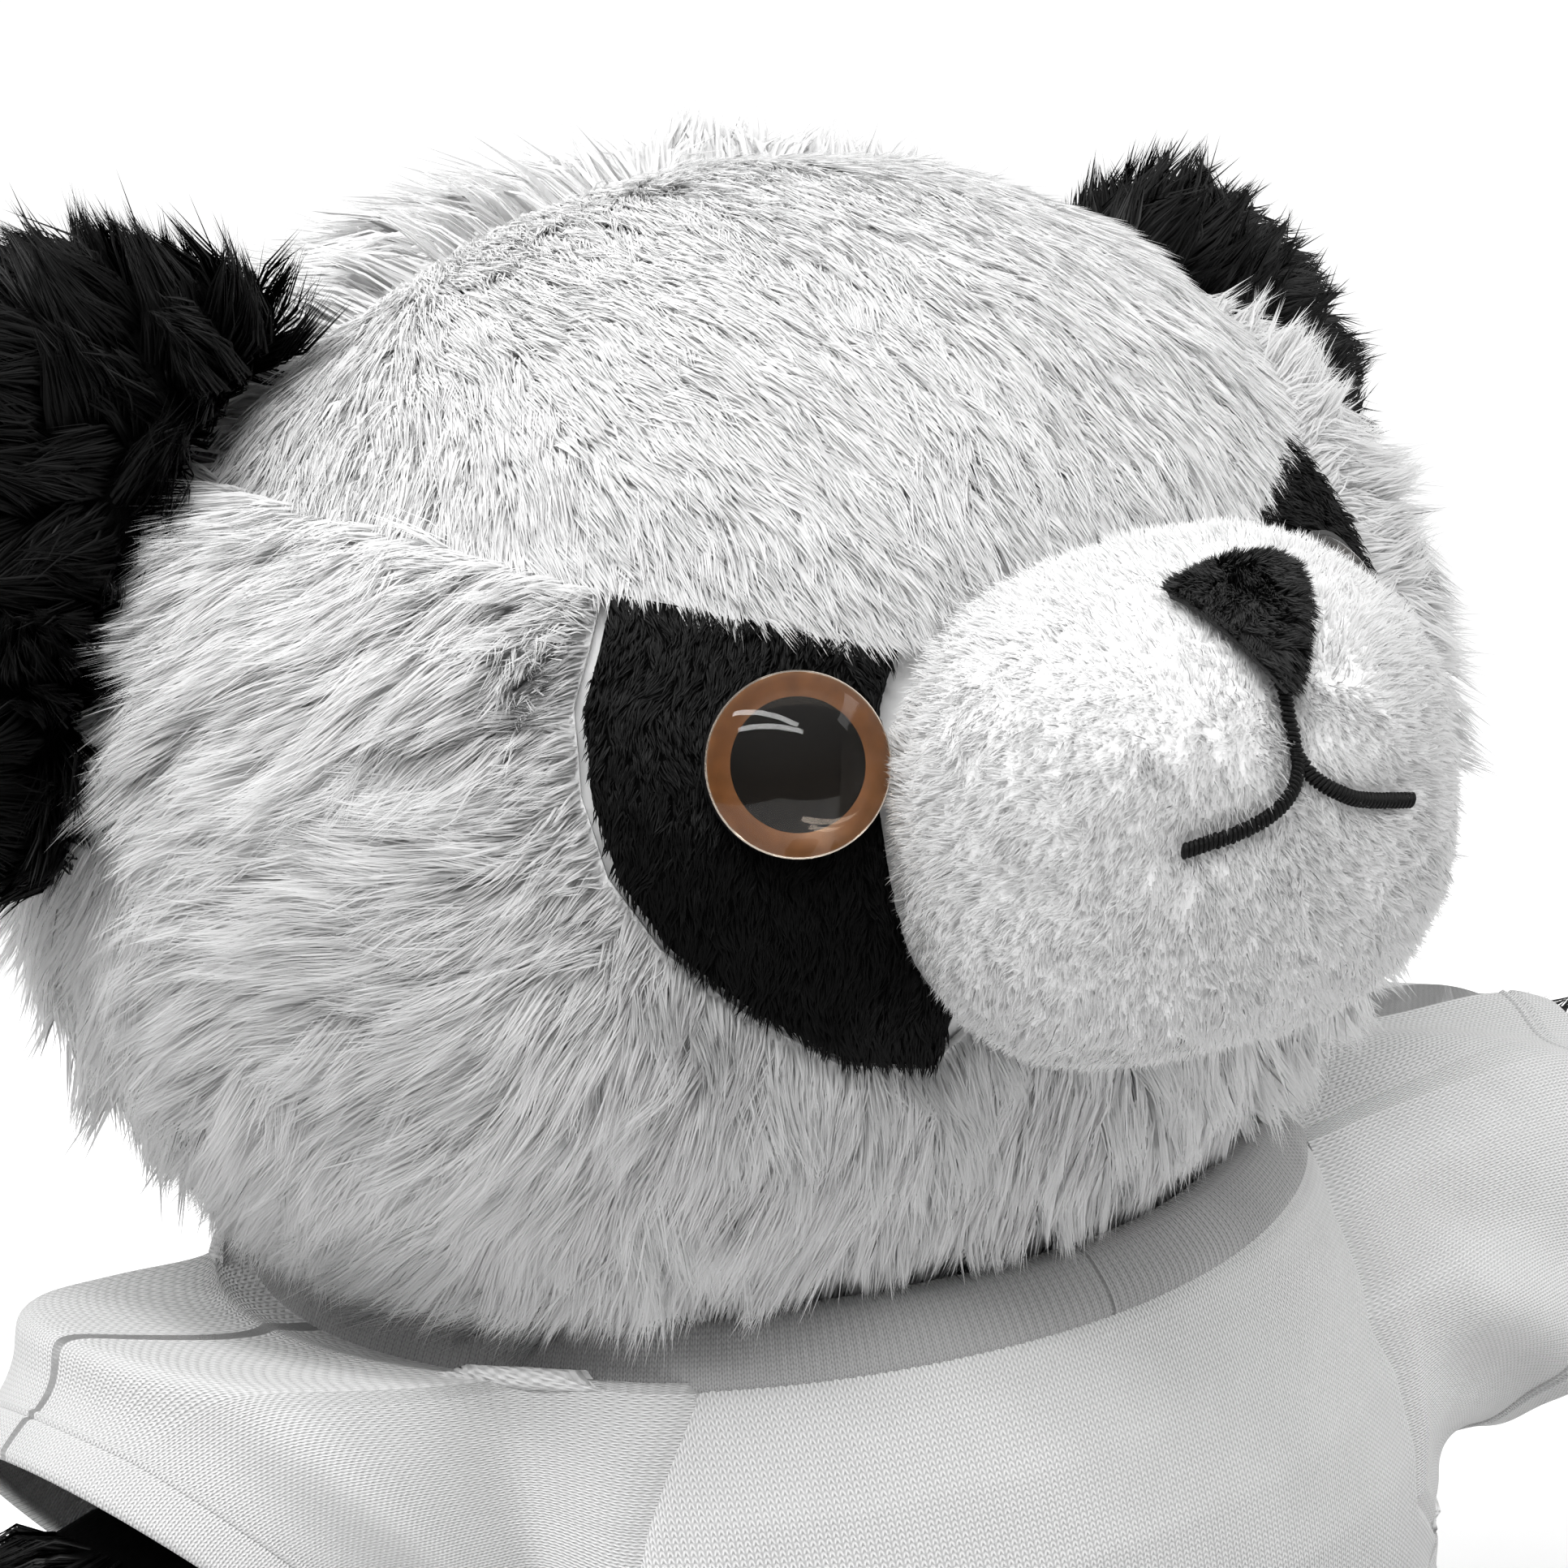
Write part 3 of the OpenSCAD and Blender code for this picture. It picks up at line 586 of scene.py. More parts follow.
def fields(p):
    """Back along the head, straight down, and out to the side, for each point."""
    out = np.sign(p[:, 0])
    return (np.tile([0.0, 1.0, 0.0], (len(p), 1)), np.tile([0.0, 0.0, -1.0], (len(p), 1)),
            np.stack([out, 0 * out, 0 * out], 1))


patch_rim = {s: edge_points(cloth_of(f"eye_patch_{s}", "rim", 0, 0.5, HEAD)) for s in ("left", "right")}
muzzle_rim = edge_points(cloth_of("muzzle_cover", "rim", 0, 0.3, HEAD + np.array([0, -0.05, 0.005])))
for o in [o for o in bpy.data.objects if o.name.startswith("rim")]:
    bpy.data.objects.remove(o)
every_rim = np.concatenate([patch_rim["left"], patch_rim["right"], muzzle_rim])
print("rims", len(every_rim))


# %% Crown, cheeks and chin
def crown_nap(p, n):
    back, down, side = fields(p)
    q = np.abs((p - HEAD) / HALF)
    out = step(0.15, 0.75, q[:, 0])[:, None]
    flow = -back * (0.8 - 0.5 * out) + down * 0.75 + side * 0.45 * out
    return flow + 0.22 * waves(p, 18 * MM, 11) + 0.12 * waves(p, 6 * MM, 12)


def crown_length(p):
    near = nearest(p, every_rim)
    return 2.8 + 1.8 * step(0, 11 * MM, near)


def cheek_nap(p, n):
    back, down, side = fields(p)
    q = (p - HEAD) / HALF
    high_up = step(-0.35, 0.5, q[:, 2])[:, None]
    flow = back * (0.42 + 0.3 * high_up) + down * (1.0 - 0.4 * high_up) + side * 0.5
    return flow + 0.34 * waves(p, 15 * MM, 21) + 0.22 * waves(p, 6 * MM, 22)


def cheek_length(p):
    near = nearest(p, every_rim)
    return 4.0 + 4.2 * step(1 * MM, 9 * MM, near)


def cheek_lean(p):
    return 22 + 36 * step(0.5 * MM, 7 * MM, nearest(p, every_rim))


def chin_nap(p, n):
    back, down, side = fields(p)
    return down * 1.0 + back * 0.35 + side * 0.15 + 0.2 * waves(p, 12 * MM, 31)


def coat(node, body, count, seed, length, nap, layers=1, plump=1.0, base=-0.1, **more):
    """One coat, or an undercoat and a top coat on the same cloth."""
    cloth = head_cloth(node, node.replace("_panel", "") + "_fur", 2 if "cheek" in node else 1, plump, base, 1.2)
    if layers == 2:
        top = cloth.copy()
        top.data = cloth.data.copy()
        top.name = top.data.name = cloth.name.replace("_fur", "_fur_top")
        bpy.context.collection.objects.link(top)
        grow(top, count, length, nap, seed=seed + 50, thick=0, bare=True, **more)
        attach(top, body)
    grow(cloth, count, length, nap, seed=seed, **more)
    finish_piece(cloth, body, [node])
    return cloth


coat("crown_panel", "head", 46000, 101, crown_length, crown_nap, 2, lean=75, width=0.24, tuft=(7, 0.12, 0.05),
     lock=(1.6, 0.18), wild=0.05, soft=0.97, plump=0.5, calm=0.35)
coat("cheek_panel_right", "head", 46000, 102, cheek_length, cheek_nap, 2, lean=cheek_lean, width=0.19,
     tuft=(6, 0.32, 0.22), lock=(1.5, 0.36), wild=0.1, soft=0.9)
coat("cheek_panel_left", "head", 30000, 103, cheek_length, cheek_nap, lean=58, tuft=(6, 0.5, 0.35), width=0.24,
     soft=0.75)
coat("chin_panel", "head", 28000, 104, 6.5, chin_nap, lean=62, tuft=(5, 0.4, 0.2), width=0.2, soft=0.75)


# %% Back of the head
def back_nap(p, n):
    back, down, side = fields(p)
    return down * 0.9 + side * 0.2 + back * 0.3 + 0.25 * waves(p, 15 * MM, 41)


for side in ("left", "right"):
    coat(f"head_back_{side}", "head", 22000, 105, 8.0, back_nap, lean=58, width=0.42, tuft=(6, 0.5, 0.3), soft=0.75)

# %% [markdown]
# Around each eye is a leaf of black velour, with pile only a millimetre long, brushed downwards.


# %% Eye patches
def down_nap(p, n):
    back, down, side = fields(p)
    return down + 0.3 * side + 0.25 * waves(p, 7 * MM, 51)


for side in ("left", "right"):
    node = f"eye_patch_{side}"
    cloth = head_cloth(node, node + "_velour", 2, plump=0.3, base=0.55)
    grow(cloth, 16000 if side == "right" else 8000, 1.4, down_nap, lean=66, width=0.15, tuft=(2.5, 0.25, 0.2),
         lock=(0.7, 0.5), seed=110, finish=black_velour, backing=black_backing, thick=0.6)
    finish_piece(cloth, "head", [node])

# %% [markdown]
# The muzzle is a separate stuffed piece of white velour. Its pile is short and spreads away from the nose.


# %% Muzzle
MUZZLE = HEAD + np.array([0, -0.062, 0.005])


def muzzle_nap(p, n):
    away = p - (MUZZLE + np.array([0, -0.03, 0.012]))
    return unit(away) + np.array([0, 0, -0.25]) + 0.4 * waves(p, 6 * MM, 61)


def power(v, p):
    return np.sign(v) * np.abs(v) ** p


def muzzle_form(phi, t, off):
    """The stuffed muzzle: pinched in at its seam, squarer below, blunt in front. t runs from seam to tip."""
    width, height, lift = 25.0, 21.0, 5.0
    u = np.where(t < 0.3, t / 0.3, (t - 0.3) / 0.7) * math.pi / 2
    f = np.where(t < 0.3, 0.9 + 0.1 * np.sin(u), np.maximum(np.cos(u), 1e-6) ** 0.85)
    e = np.where(np.sin(phi) < 0, 0.7, 0.86)
    x = (width + off) * f * power(np.cos(phi), e)
    z = (height + off) * f * power(np.sin(phi), e)
    side = np.clip(1 - (x / 66.5) ** 2 - ((z + lift) / 54) ** 2, 0.05, 1)
    face, front = -60.5 * np.sqrt(side), -65.5
    y = np.where(t < 0.3, face - 0.3 + (front - face + 0.3) * (u * 2 / math.pi), front - (17.5 + off) * np.sin(u))
    dent = 1.0 * np.exp(-(((x + 1.2) / 2.0) ** 2)) * np.exp(-(((z - 7) / 6) ** 2))
    dent += 0.7 * np.exp(-(((np.abs(x + 1.5) - 8) / 5) ** 2 + ((z - 1.2) / 2.2) ** 2))
    return np.stack([x - 0.7, y + np.where(t > 0.4, dent, 0), z + lift], 1) * MM + HEAD


def in_order(obj):
    """Numbers points and faces by place, because the ball's maker and its cut leave them in any order."""
    co = np.round(points_of(obj), 6)
    order = np.lexsort(co.T)
    rank = np.argsort(order)
    rings = [[int(rank[v]) for v in face.vertices] for face in obj.data.polygons]
    rings = sorted(ring[ring.index(min(ring)) :] + ring[: ring.index(min(ring))] for ring in rings)
    obj.data.clear_geometry()
    obj.data.from_pydata(co[order], [], rings)


def seam_to_tip(ball):
    """0 at the muzzle's seam and 1 at its tip, for points on a ball of radius 1."""
    reach = 0.6 * math.pi
    return 1 - np.arccos(np.clip(-ball[:, 1], -1, 1)) / reach


bpy.ops.object.select_all(action="DESELECT")
bpy.ops.mesh.primitive_uv_sphere_add(segments=112, ring_count=80, radius=1, rotation=(math.pi / 2, 0, 0))
muzzle = bpy.context.object
muzzle.name = muzzle.data.name = "muzzle_velour"
bpy.ops.object.transform_apply(rotation=True)
part = seam_to_tip(points_of(muzzle))
edit("DESELECT")
bm = bmesh.from_edit_mesh(muzzle.data)
bm.verts.ensure_lookup_table()
for v in bm.verts:
    v.select_set(bool(part[v.index] < -0.001))
bmesh.update_edit_mesh(muzzle.data)
bpy.ops.mesh.delete(type="VERT")
bpy.ops.object.mode_set(mode="OBJECT")
in_order(muzzle)
ball = points_of(muzzle)
co = muzzle_form(np.arctan2(ball[:, 2], ball[:, 0]), np.clip(seam_to_tip(ball), 0, 1), -0.7)
co += 0.35 * MM * waves(co, 11 * MM, 60)[:, :1] * unit(co - MUZZLE)
set_points(muzzle, co)
print("muzzle", len(co), "points")
muzzle_tree = BVHTree.FromPolygons([v.co for v in muzzle.data.vertices],
                                   [p.vertices[:] for p in muzzle.data.polygons])
grow(muzzle, 54000, 1.5, muzzle_nap, lean=48, width=0.12, tuft=(2.0, 0.1, 0.35), lock=(0.6, 0.25), wild=0.2,
     soft=0.93, seed=120, finish=white_velour, backing=white_backing, thick=0.7)
finish_piece(muzzle, "head", ["muzzle_cover"])

# %% [markdown]
# The nose is a small pad of charcoal velour with a pointed lower end, appliqued on the muzzle.


# %% Nose
nose = cloth_of("nose", "nose_pad", 2, 0.0, MUZZLE)
co = points_of(nose)
swell = 0.9 * step(0, 2.2 * MM, nearest(co, edge_points(nose)))
set_points(nose, co + normals_of(nose) * ((swell - 0.1) * MM)[:, None])
grow(nose, 9000, 1.1, lambda p, n: np.tile([0.0, 0.0, -1.0], (len(p), 1)) + 0.8 * waves(p, 3 * MM, 71), lean=45,
     width=0.12, tuft=(2, 0.2, 0.4), lock=(0.6, 0.4), wild=0.2, seed=130, finish=charcoal_velour,
     backing=charcoal_backing, thick=0.5)
finish_piece(nose, "head", ["nose"])

# %% [markdown]
# The mouth is satin stitch: a row of short, close stitches laid across a line. Each is a slanted,
# flattened grain that lies on the pile of the muzzle.


# %% Mouth
def on_muzzle(x, z):
    hit, normal, _, _ = muzzle_tree.ray_cast(Vector((x, HEAD[1] - 0.2, z)), Vector((0, 1, 0)))
    return np.array(hit), np.array(normal)


def mouth_lines():
    """A stem below the nose, and two branches that leave it steeply and flatten out."""
    middle, top, fork = -2.2, 17.4, 11.0
    yield [(middle + 0.7 * (1 - t) - 0.2, top + (fork - top) * t) for t in np.linspace(0, 1, 20)]
    for side, low in ((-1, 5.9), (1, 4.8)):
        bend, end = np.array([middle + side * 1.7, 6.6]), np.array([middle + side * 11.0, low])
        start = np.array([middle, fork])
        yield [tuple(start * (1 - t) ** 2 + bend * 2 * t * (1 - t) + end * t * t) for t in np.linspace(0, 1, 40)]


def satin(name):
    bm = bmesh.new()
    for line in mouth_lines():
        pts = [on_muzzle(x * MM, HEAD[2] + z * MM) for x, z in line]
        path = np.array([p + n * 1.0 * MM for p, n in pts])
        norm = np.array([n for _, n in pts])
        gone = np.concatenate([[0], np.cumsum(np.linalg.norm(np.diff(path, axis=0), axis=1))])
        for d in np.arange(0.15 * MM, gone[-1], 0.42 * MM):
            at = np.array([np.interp(d, gone, path[:, k]) for k in range(3)])
            nn = Vector([np.interp(d, gone, norm[:, k]) for k in range(3)]).normalized()
            ahead = np.array([np.interp(d + 0.3 * MM, gone, path[:, k]) for k in range(3)])
            back_ = np.array([np.interp(d - 0.3 * MM, gone, path[:, k]) for k in range(3)])
            run = Vector(ahead - back_).normalized()
            across = nn.cross(run).normalized()
            slant = (across + run * 0.35).normalized()
            m = Matrix((slant, nn.cross(slant).normalized(), nn)).transposed().to_4x4()
            m.translation = Vector(at)
            size = Matrix.Diagonal((0.72 * MM, 0.27 * MM, 0.5 * MM, 1))
            bmesh.ops.create_icosphere(bm, subdivisions=2, radius=1.0, matrix=m @ size)
    mesh = bpy.data.meshes.new(name)
    bm.to_mesh(mesh)
    bm.free()
    obj = bpy.data.objects.new(name, mesh)
    bpy.context.collection.objects.link(obj)
    smooth(mesh)
    return obj


thread = speckled("black_thread", 2500.0, grey(0.0008), grey(0.006), Roughness=0.5, Specular_IOR_Level=0.12)
thread.bump(thread.noise(6000.0), 0.6, 0.0001)
mouth = satin("mouth_stitches")
mouth.data.materials.append(thread.material)
finish_piece(mouth, "head", ["mouth"])
print("mouth stitches", len(mouth.data.polygons))

# %% [markdown]
# Safety eyes are moulded: a clear dome of tinted plastic over a painted ring and a black pupil.


# %% Eyes
def eye_axis(side):
    washer = np.array(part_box(f"eye_washer_{side}")).mean(0)
    pupil = np.array(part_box(f"eye_pupil_{side}")).mean(0)
    z = Vector(pupil - washer).normalized()
    x = Vector((0, 0, 1)).cross(z).normalized()
    m = Matrix((x, z.cross(x), z)).transposed().to_4x4()
    m.translation = Vector(pupil)
    return m


def spun(name, outline, where, steps=64):
    """Spins an outline of (radius, height) pairs, in mm, about the eye's axis."""
    bpy.ops.object.select_all(action="DESELECT")
    bpy.ops.mesh.primitive_plane_add(size=1)
    obj = bpy.context.object
    obj.name = obj.data.name = name
    bpy.ops.object.mode_set(mode="EDIT")
    bm = bmesh.from_edit_mesh(obj.data)
    bm.clear()
    verts = [bm.verts.new((r * MM, 0, h * MM)) for r, h in outline]
    for a, b in zip(verts, verts[1:]):
        bm.edges.new((a, b))
    for e in bm.edges:
        e.select_set(True)
    bmesh.update_edit_mesh(obj.data)
    bpy.ops.mesh.spin(steps=steps, angle=math.tau, center=(0, 0, 0), axis=(0, 0, 1))
    bpy.ops.mesh.select_all(action="SELECT")
    bpy.ops.mesh.remove_doubles(threshold=0.000002)
    bpy.ops.mesh.normals_make_consistent(inside=False)
    bpy.ops.object.mode_set(mode="OBJECT")
    obj.data.transform(where)
    smooth(obj.data)
    only(obj)
    bpy.ops.object.shade_smooth_by_angle(angle=math.radians(50))
    return obj


def dome(radius, height, base, n=14):
    """The outline of a cap of a sphere, from its rim to its top."""
    r = (radius**2 + height**2) / (2 * height)
    turns = [math.asin(radius / r) * k / n for k in range(n, -1, -1)]
    return [(r * math.sin(a), base + height - r + r * math.cos(a)) for a in turns]


clear = Finish("clear_amber", Roughness=0.02, IOR=1.28, Transmission_Weight=1.0)
clear.set(Base_Color=(0.86, 0.74, 0.62, 1))
ring = speckled("painted_ring", 700.0, (0.12, 0.055, 0.02, 1), (0.30, 0.15, 0.06, 1), 3.0, Roughness=0.35)
pupil_black = speckled("pupil_black", 400.0, grey(0.0005), grey(0.001), Roughness=0.5, Specular_IOR_Level=0.05)

RING = [(4.95, -0.3), (4.95, 0.1), (6.7, 0.22), (7.15, 0.1), (7.15, -0.3), (4.95, -0.3)]
PUPIL = [(0.0, -0.3), (4.9, -0.3), (4.9, 0.1), (4.5, 0.2), (0.0, 0.22)]
FAR_EYE_SUNK = 1.8 * MM
for side in ("left", "right"):
    m = eye_axis(side)
    if side == "left":
        m = m @ Matrix.Translation((0, 0, -FAR_EYE_SUNK))
    lens = spun(f"eye_dome_{side}", [(0.0, 0.35), (6.9, 0.35), (7.35, 0.55)] + dome(7.5, 3.9, 0.9), m)
    lens.data.materials.append(clear.material)
    finish_piece(lens, "head", [f"eye_lens_{side}"])
    iris = spun(f"eye_ring_{side}", RING, m)
    iris.data.materials.append(ring.material)
    finish_piece(iris, "head", [f"eye_iris_{side}"])
    pupil = spun(f"eye_black_{side}", PUPIL, m)
    pupil.data.materials.append(pupil_black.material)
    finish_piece(pupil, "head", [f"eye_pupil_{side}"])

# %% [markdown]
# Ears are two leaves of black long pile, sewn round the rim. The pile runs from the head outwards
# and stands past the rim in uneven points.


# %% Ears
def ear_nap(p, n):
    away = p - HEAD
    away[:, 1] *= 0.2
    return unit(away) + 0.35 * waves(p, 9 * MM, 81)


STRANDS = {("right", "front"): 38000, ("right", "back"): 18000, ("left", "front"): 15000, ("left", "back"): 9000}
FAR_EAR_SHIFT = np.array([-2.6, 0, -1.4]) * MM
for side, face in itertools.product(("left", "right"), ("front", "back")):
    node = f"ear_{face}_{side}"
    cloth = cloth_of(node, node + "_fur", 1, 0.02)
    if side == "left":
        set_points(cloth, points_of(cloth) + FAR_EAR_SHIFT)
    fine = (side, face) == ("right", "front")
    grow(cloth, STRANDS[side, face], 7.5 if side == "right" else 5.6, ear_nap, lean=54, width=0.2 if fine else 0.3,
         tuft=(6, 0.6, 0.4), lock=(1.8, 0.6), seed=140 + len(node) + (face == "front"), finish=black_pile,
         backing=black_backing, unruly=0.01)
    finish_piece(cloth, f"ear_{side}", [node])


# %% [markdown]
# Arms, legs, tail and the body under the shirt wear the same long pile, combed towards the paws.


# %% Arms, legs, tail and body
SLEEVE = {"right": 10.0, "left": 28.0}
SHOULDER = np.array([0.0615, -0.002, 0.077])
OUTWARD = 0.03


def along_limb(limb, side, parts, length, count, seed):
    """Both covers of a limb, combed outwards. An arm has pile only where the sleeve leaves it bare."""
    core = points_of(frame["nodes"][f"{limb}_stuffing_{side}"])
    middle = core.mean(0)
    _, _, axes = np.linalg.svd(core - middle)
    axis = axes[0]
    if np.dot(axis, [middle[0], middle[1], -OUTWARD]) < 0:
        axis = -axis
    shoulder = SHOULDER * np.array([math.copysign(1, middle[0]), 1, 1])

    def nap(p, n):
        return np.tile(axis, (len(p), 1)) + np.array([0, 0, -0.35]) + 0.3 * waves(p, 9 * MM, seed)

    def bare_arm(p):
        return (p - shoulder) @ axis > SLEEVE[side] * MM

    for q in parts:
        node = f"{limb}_{q}_{side}"
        cloth = cloth_of(node, node + "_fur", 1, 0.02, middle)
        grow(cloth, count, length, nap, lean=60, width=0.34, tuft=(6, 0.55, 0.4), lock=(1.8, 0.6), seed=seed,
             finish=black_pile, backing=black_backing, keep=bare_arm if limb == "arm" else None)
        finish_piece(cloth, f"{limb}_{side}", [node])


along_limb("arm", "right", ("outer", "inner"), 8.0, 10000, 151)
along_limb("arm", "left", ("outer", "inner"), 8.0, 6000, 152)
along_limb("leg", "right", ("top", "under"), 8.0, 6500, 153)
along_limb("leg", "left", ("top", "under"), 8.0, 6500, 154)

for side in ("left", "right"):
    node = f"sole_{side}"
    cloth = cloth_of(node, node + "_velour", 0, -2)
    cloth.data.materials.append(black_backing.material)
    finish_piece(cloth, f"leg_{side}", [node])

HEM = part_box("shirt_hem_band")[0].z


def under_shirt(p):
    return p[:, 2] < HEM + 1 * MM


for node in ("belly_panel", "back_panel", "seat_panel", "tail_cover"):
    short = node == "seat_panel"
    cloth = cloth_of(node, node + "_fur", 0 if short else 1, 0.9 if short else 0.02)
    grow(cloth, 2000 if short else 10000, 1.0 if short else 7.0, down_nap, lean=70, width=0.5, tuft=(6, 0.5, 0.3),
         seed=160, keep=under_shirt if node in ("belly_panel", "back_panel") else None)
    finish_piece(cloth, "torso", [node])

# %% [markdown]
# The shirt is thin jersey. Its pieces are drawn in mm on the cloth itself, so the rows of knit
# follow every fold.


# %% Jersey and rib finishes
def jersey(name, wale=0.65, course=0.52, depth=0.0003, dark=0.34, light=0.66):
    """Columns of V-shaped loops, a wale wide and a course high, in mm."""
    f = Finish(name, Roughness=0.88, Sheen_Weight=0.15, Sheen_Roughness=0.5)
    x = f.start.node("ShaderNodeSeparateXYZ", {}, {0: f.uv()})
    y = Value(f.tree, x.socket.node.outputs[1])
    u = (x * (1000 / wale)).maths("FRACT") - 0.5
    leg = u.maths("ABSOLUTE")
    v = (y * (1000 / course) + leg * 1.1).maths("FRACT") - 0.5
    ridge = 1 - (leg - 0.25).maths("ABSOLUTE") * 3.2
    loop = 1 - v.maths("ABSOLUTE") * 1.7
    height = (ridge.clamp() * 0.75 + loop.clamp() * 0.55).clamp()
    # Colour follows the loop height: painted shade in the hollows between loops, plus random tone from the noise.
    shade = (height * 0.9 + f.noise(120.0) * 0.25).clamp()
    f.set(Base_Color=shade.tint(grey(dark), grey(light)))
    f.bump(height, 0.9, depth)
    return f


jersey_cloth = jersey("white_jersey")
jersey_sleeve = jersey("white_jersey_sleeve")
# The white rib gets dark greys: painted shadow where the collar lies under the head, on top of the painted groove
# shade.
rib_painted_shadow = jersey("white_rib", wale=0.46, course=0.5, depth=0.00016, dark=0.14, light=0.38)


# %% Shirt pattern
WAIST, NECK = HEM / MM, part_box("collar_rib")[0].z / MM + 3.4
SIDE = {"right": [(0, 48.5), (30, 50), (36, 58), (37, 70), (36.3, 83), (36, NECK + 1)],
        "left": [(0, 48.5), (38, 50), (44.5, 58), (43.5, 76.5), (37.5, 85), (27, NECK + 1)]}


def flat_map(obj, flat):
    """Writes where each point lies on the flat cloth, in metres."""
    layer = obj.data.uv_layers.new(name="cloth")
    loops = np.empty(len(obj.data.loops), np.int32)
    obj.data.loops.foreach_get("vertex_index", loops)
    layer.data.foreach_set("uv", (np.asarray(flat)[loops] * MM).astype(np.float32).ravel())


def girth(z, half):
    t = (z - WAIST) / (NECK - WAIST)
    return 49 + (half - 49) * np.interp(t, [0, 0.5, 0.65, 0.8, 0.9, 1], [1, 1, 0.87, 0.58, 0.3, 0])


def seam_line(side, z):
    rows = SIDE[side]
    return np.interp(z, [r[1] for r in rows], [r[0] for r in rows])


def on_body(a, z, off):
    return np.stack([(girth(z, 61) + off) * np.sin(a), -(girth(z, 56) + off) * np.cos(a), z], 1)


def cloth_grid(name, across, along):
    bpy.ops.object.select_all(action="DESELECT")
    bpy.ops.mesh.primitive_grid_add(x_subdivisions=across, y_subdivisions=along, size=1)
    obj = bpy.context.object
    obj.name = obj.data.name = name
    co = points_of(obj)
    return obj, co[:, 0] + 0.5, co[:, 1] + 0.5


def cloth_tube(name, around, along):
    bpy.ops.object.select_all(action="DESELECT")
    bpy.ops.mesh.primitive_cylinder_add(vertices=around, radius=1, depth=1, end_fill_type="NOTHING")
    obj = bpy.context.object
    obj.name = obj.data.name = name
    edit("SELECT")
    bm = bmesh.from_edit_mesh(obj.data)
    upright = [e for e in bm.edges if abs(e.verts[0].co.z - e.verts[1].co.z) > 0.5]
    bmesh.ops.subdivide_edges(bm, edges=upright, cuts=along - 1)
    bmesh.update_edit_mesh(obj.data)
    bpy.ops.object.mode_set(mode="OBJECT")
    co = points_of(obj)
    return obj, np.arctan2(co[:, 0], -co[:, 1]) / math.tau % 1.0, co[:, 2] + 0.5


def tailor(obj, co, flat, finish, thick, body, nodes, centre):
    """Puts the cloth in place, the right way out, and gives it its thickness."""
    set_points(obj, co * MM)
    if ((points_of(obj) - np.asarray(centre) * MM) * normals_of(obj)).sum() < 0:
        only(obj)
        edit("SELECT")
        bpy.ops.mesh.flip_normals()
        bpy.ops.object.mode_set(mode="OBJECT")
    flat_map(obj, flat)
    solid(obj, thick * MM)
    smooth(obj.data)
    obj.data.materials.append(finish.material)
    if body:
        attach(obj, body)
    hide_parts(*nodes)
    print(obj.name, len(obj.data.polygons), "faces")
    return obj


# %% Shirt body
def body_folds(p, edge):
    """Soft drape away from the seams, and a dip where each seam pulls the cloth in."""
    soft = 0.55 * waves(p * np.array([1, 1, 0.5]), 24, 91)[:, 0] + 0.22 * waves(p, 9, 92)[:, 1]
    return soft * step(0, 7, edge) - 0.75 * (1 - step(0, 1.8, edge)) + 0.25 * (1 - step(1.2, 4.5, edge))


def panel(name, node, turn):
    """The front (turn 0) or the back (turn pi), from above the hem band to under the collar."""
    foot, top = WAIST + 5.2, NECK + 0.1
    obj, u, v = cloth_grid(name, 150, 90)
    z = foot + (top - foot) * v
    a = np.zeros(len(u))
    for side, sign in (("right", -1 if turn == 0 else 1), ("left", 1 if turn == 0 else -1)):
        edge = np.arccos(np.clip(seam_line(side, z) / girth(z, 56), -1, 1)) + 0.012
        part = (2 * u - 1) * sign > 0
        a[part] = (np.abs(2 * u - 1) * edge * sign)[part]
    p = on_body(turn + a, z, 1.0)
    near = nearest(p, p[(u < 0.001) | (u > 0.999)])
    near = np.minimum(near, top - z)
    p = on_body(turn + a, z, 1.0 + body_folds(p, near))
    flat = np.stack([a * girth(z, 58), z], 1)
    return tailor(obj, p, flat, jersey_cloth, 0.8, "torso", [node], (0, 0, 60))


front = panel("shirt_front_cloth", "shirt_front", 0.0)
rear = panel("shirt_back_cloth", "shirt_back", math.pi)
obj, s, t = cloth_tube("shirt_hem", 260, 10)
dent = 0.35 * np.exp(-(((t - 0.86) / 0.05) ** 2)) + 0.5 * np.clip(0.1 - t, 0, 1) * 10
z = WAIST + 6.0 * t
ripple = 0.4 * waves(on_body(s * math.tau, z, 1.25) * np.array([1, 1, 0]), 18, 93)[:, 0]
p = on_body(s * math.tau, z, 1.25 - dent + ripple)
band = tailor(obj, p, np.stack([s * 368, z], 1), jersey_cloth, 1.4, "torso", ["shirt_hem_band"], (0, 0, 38))


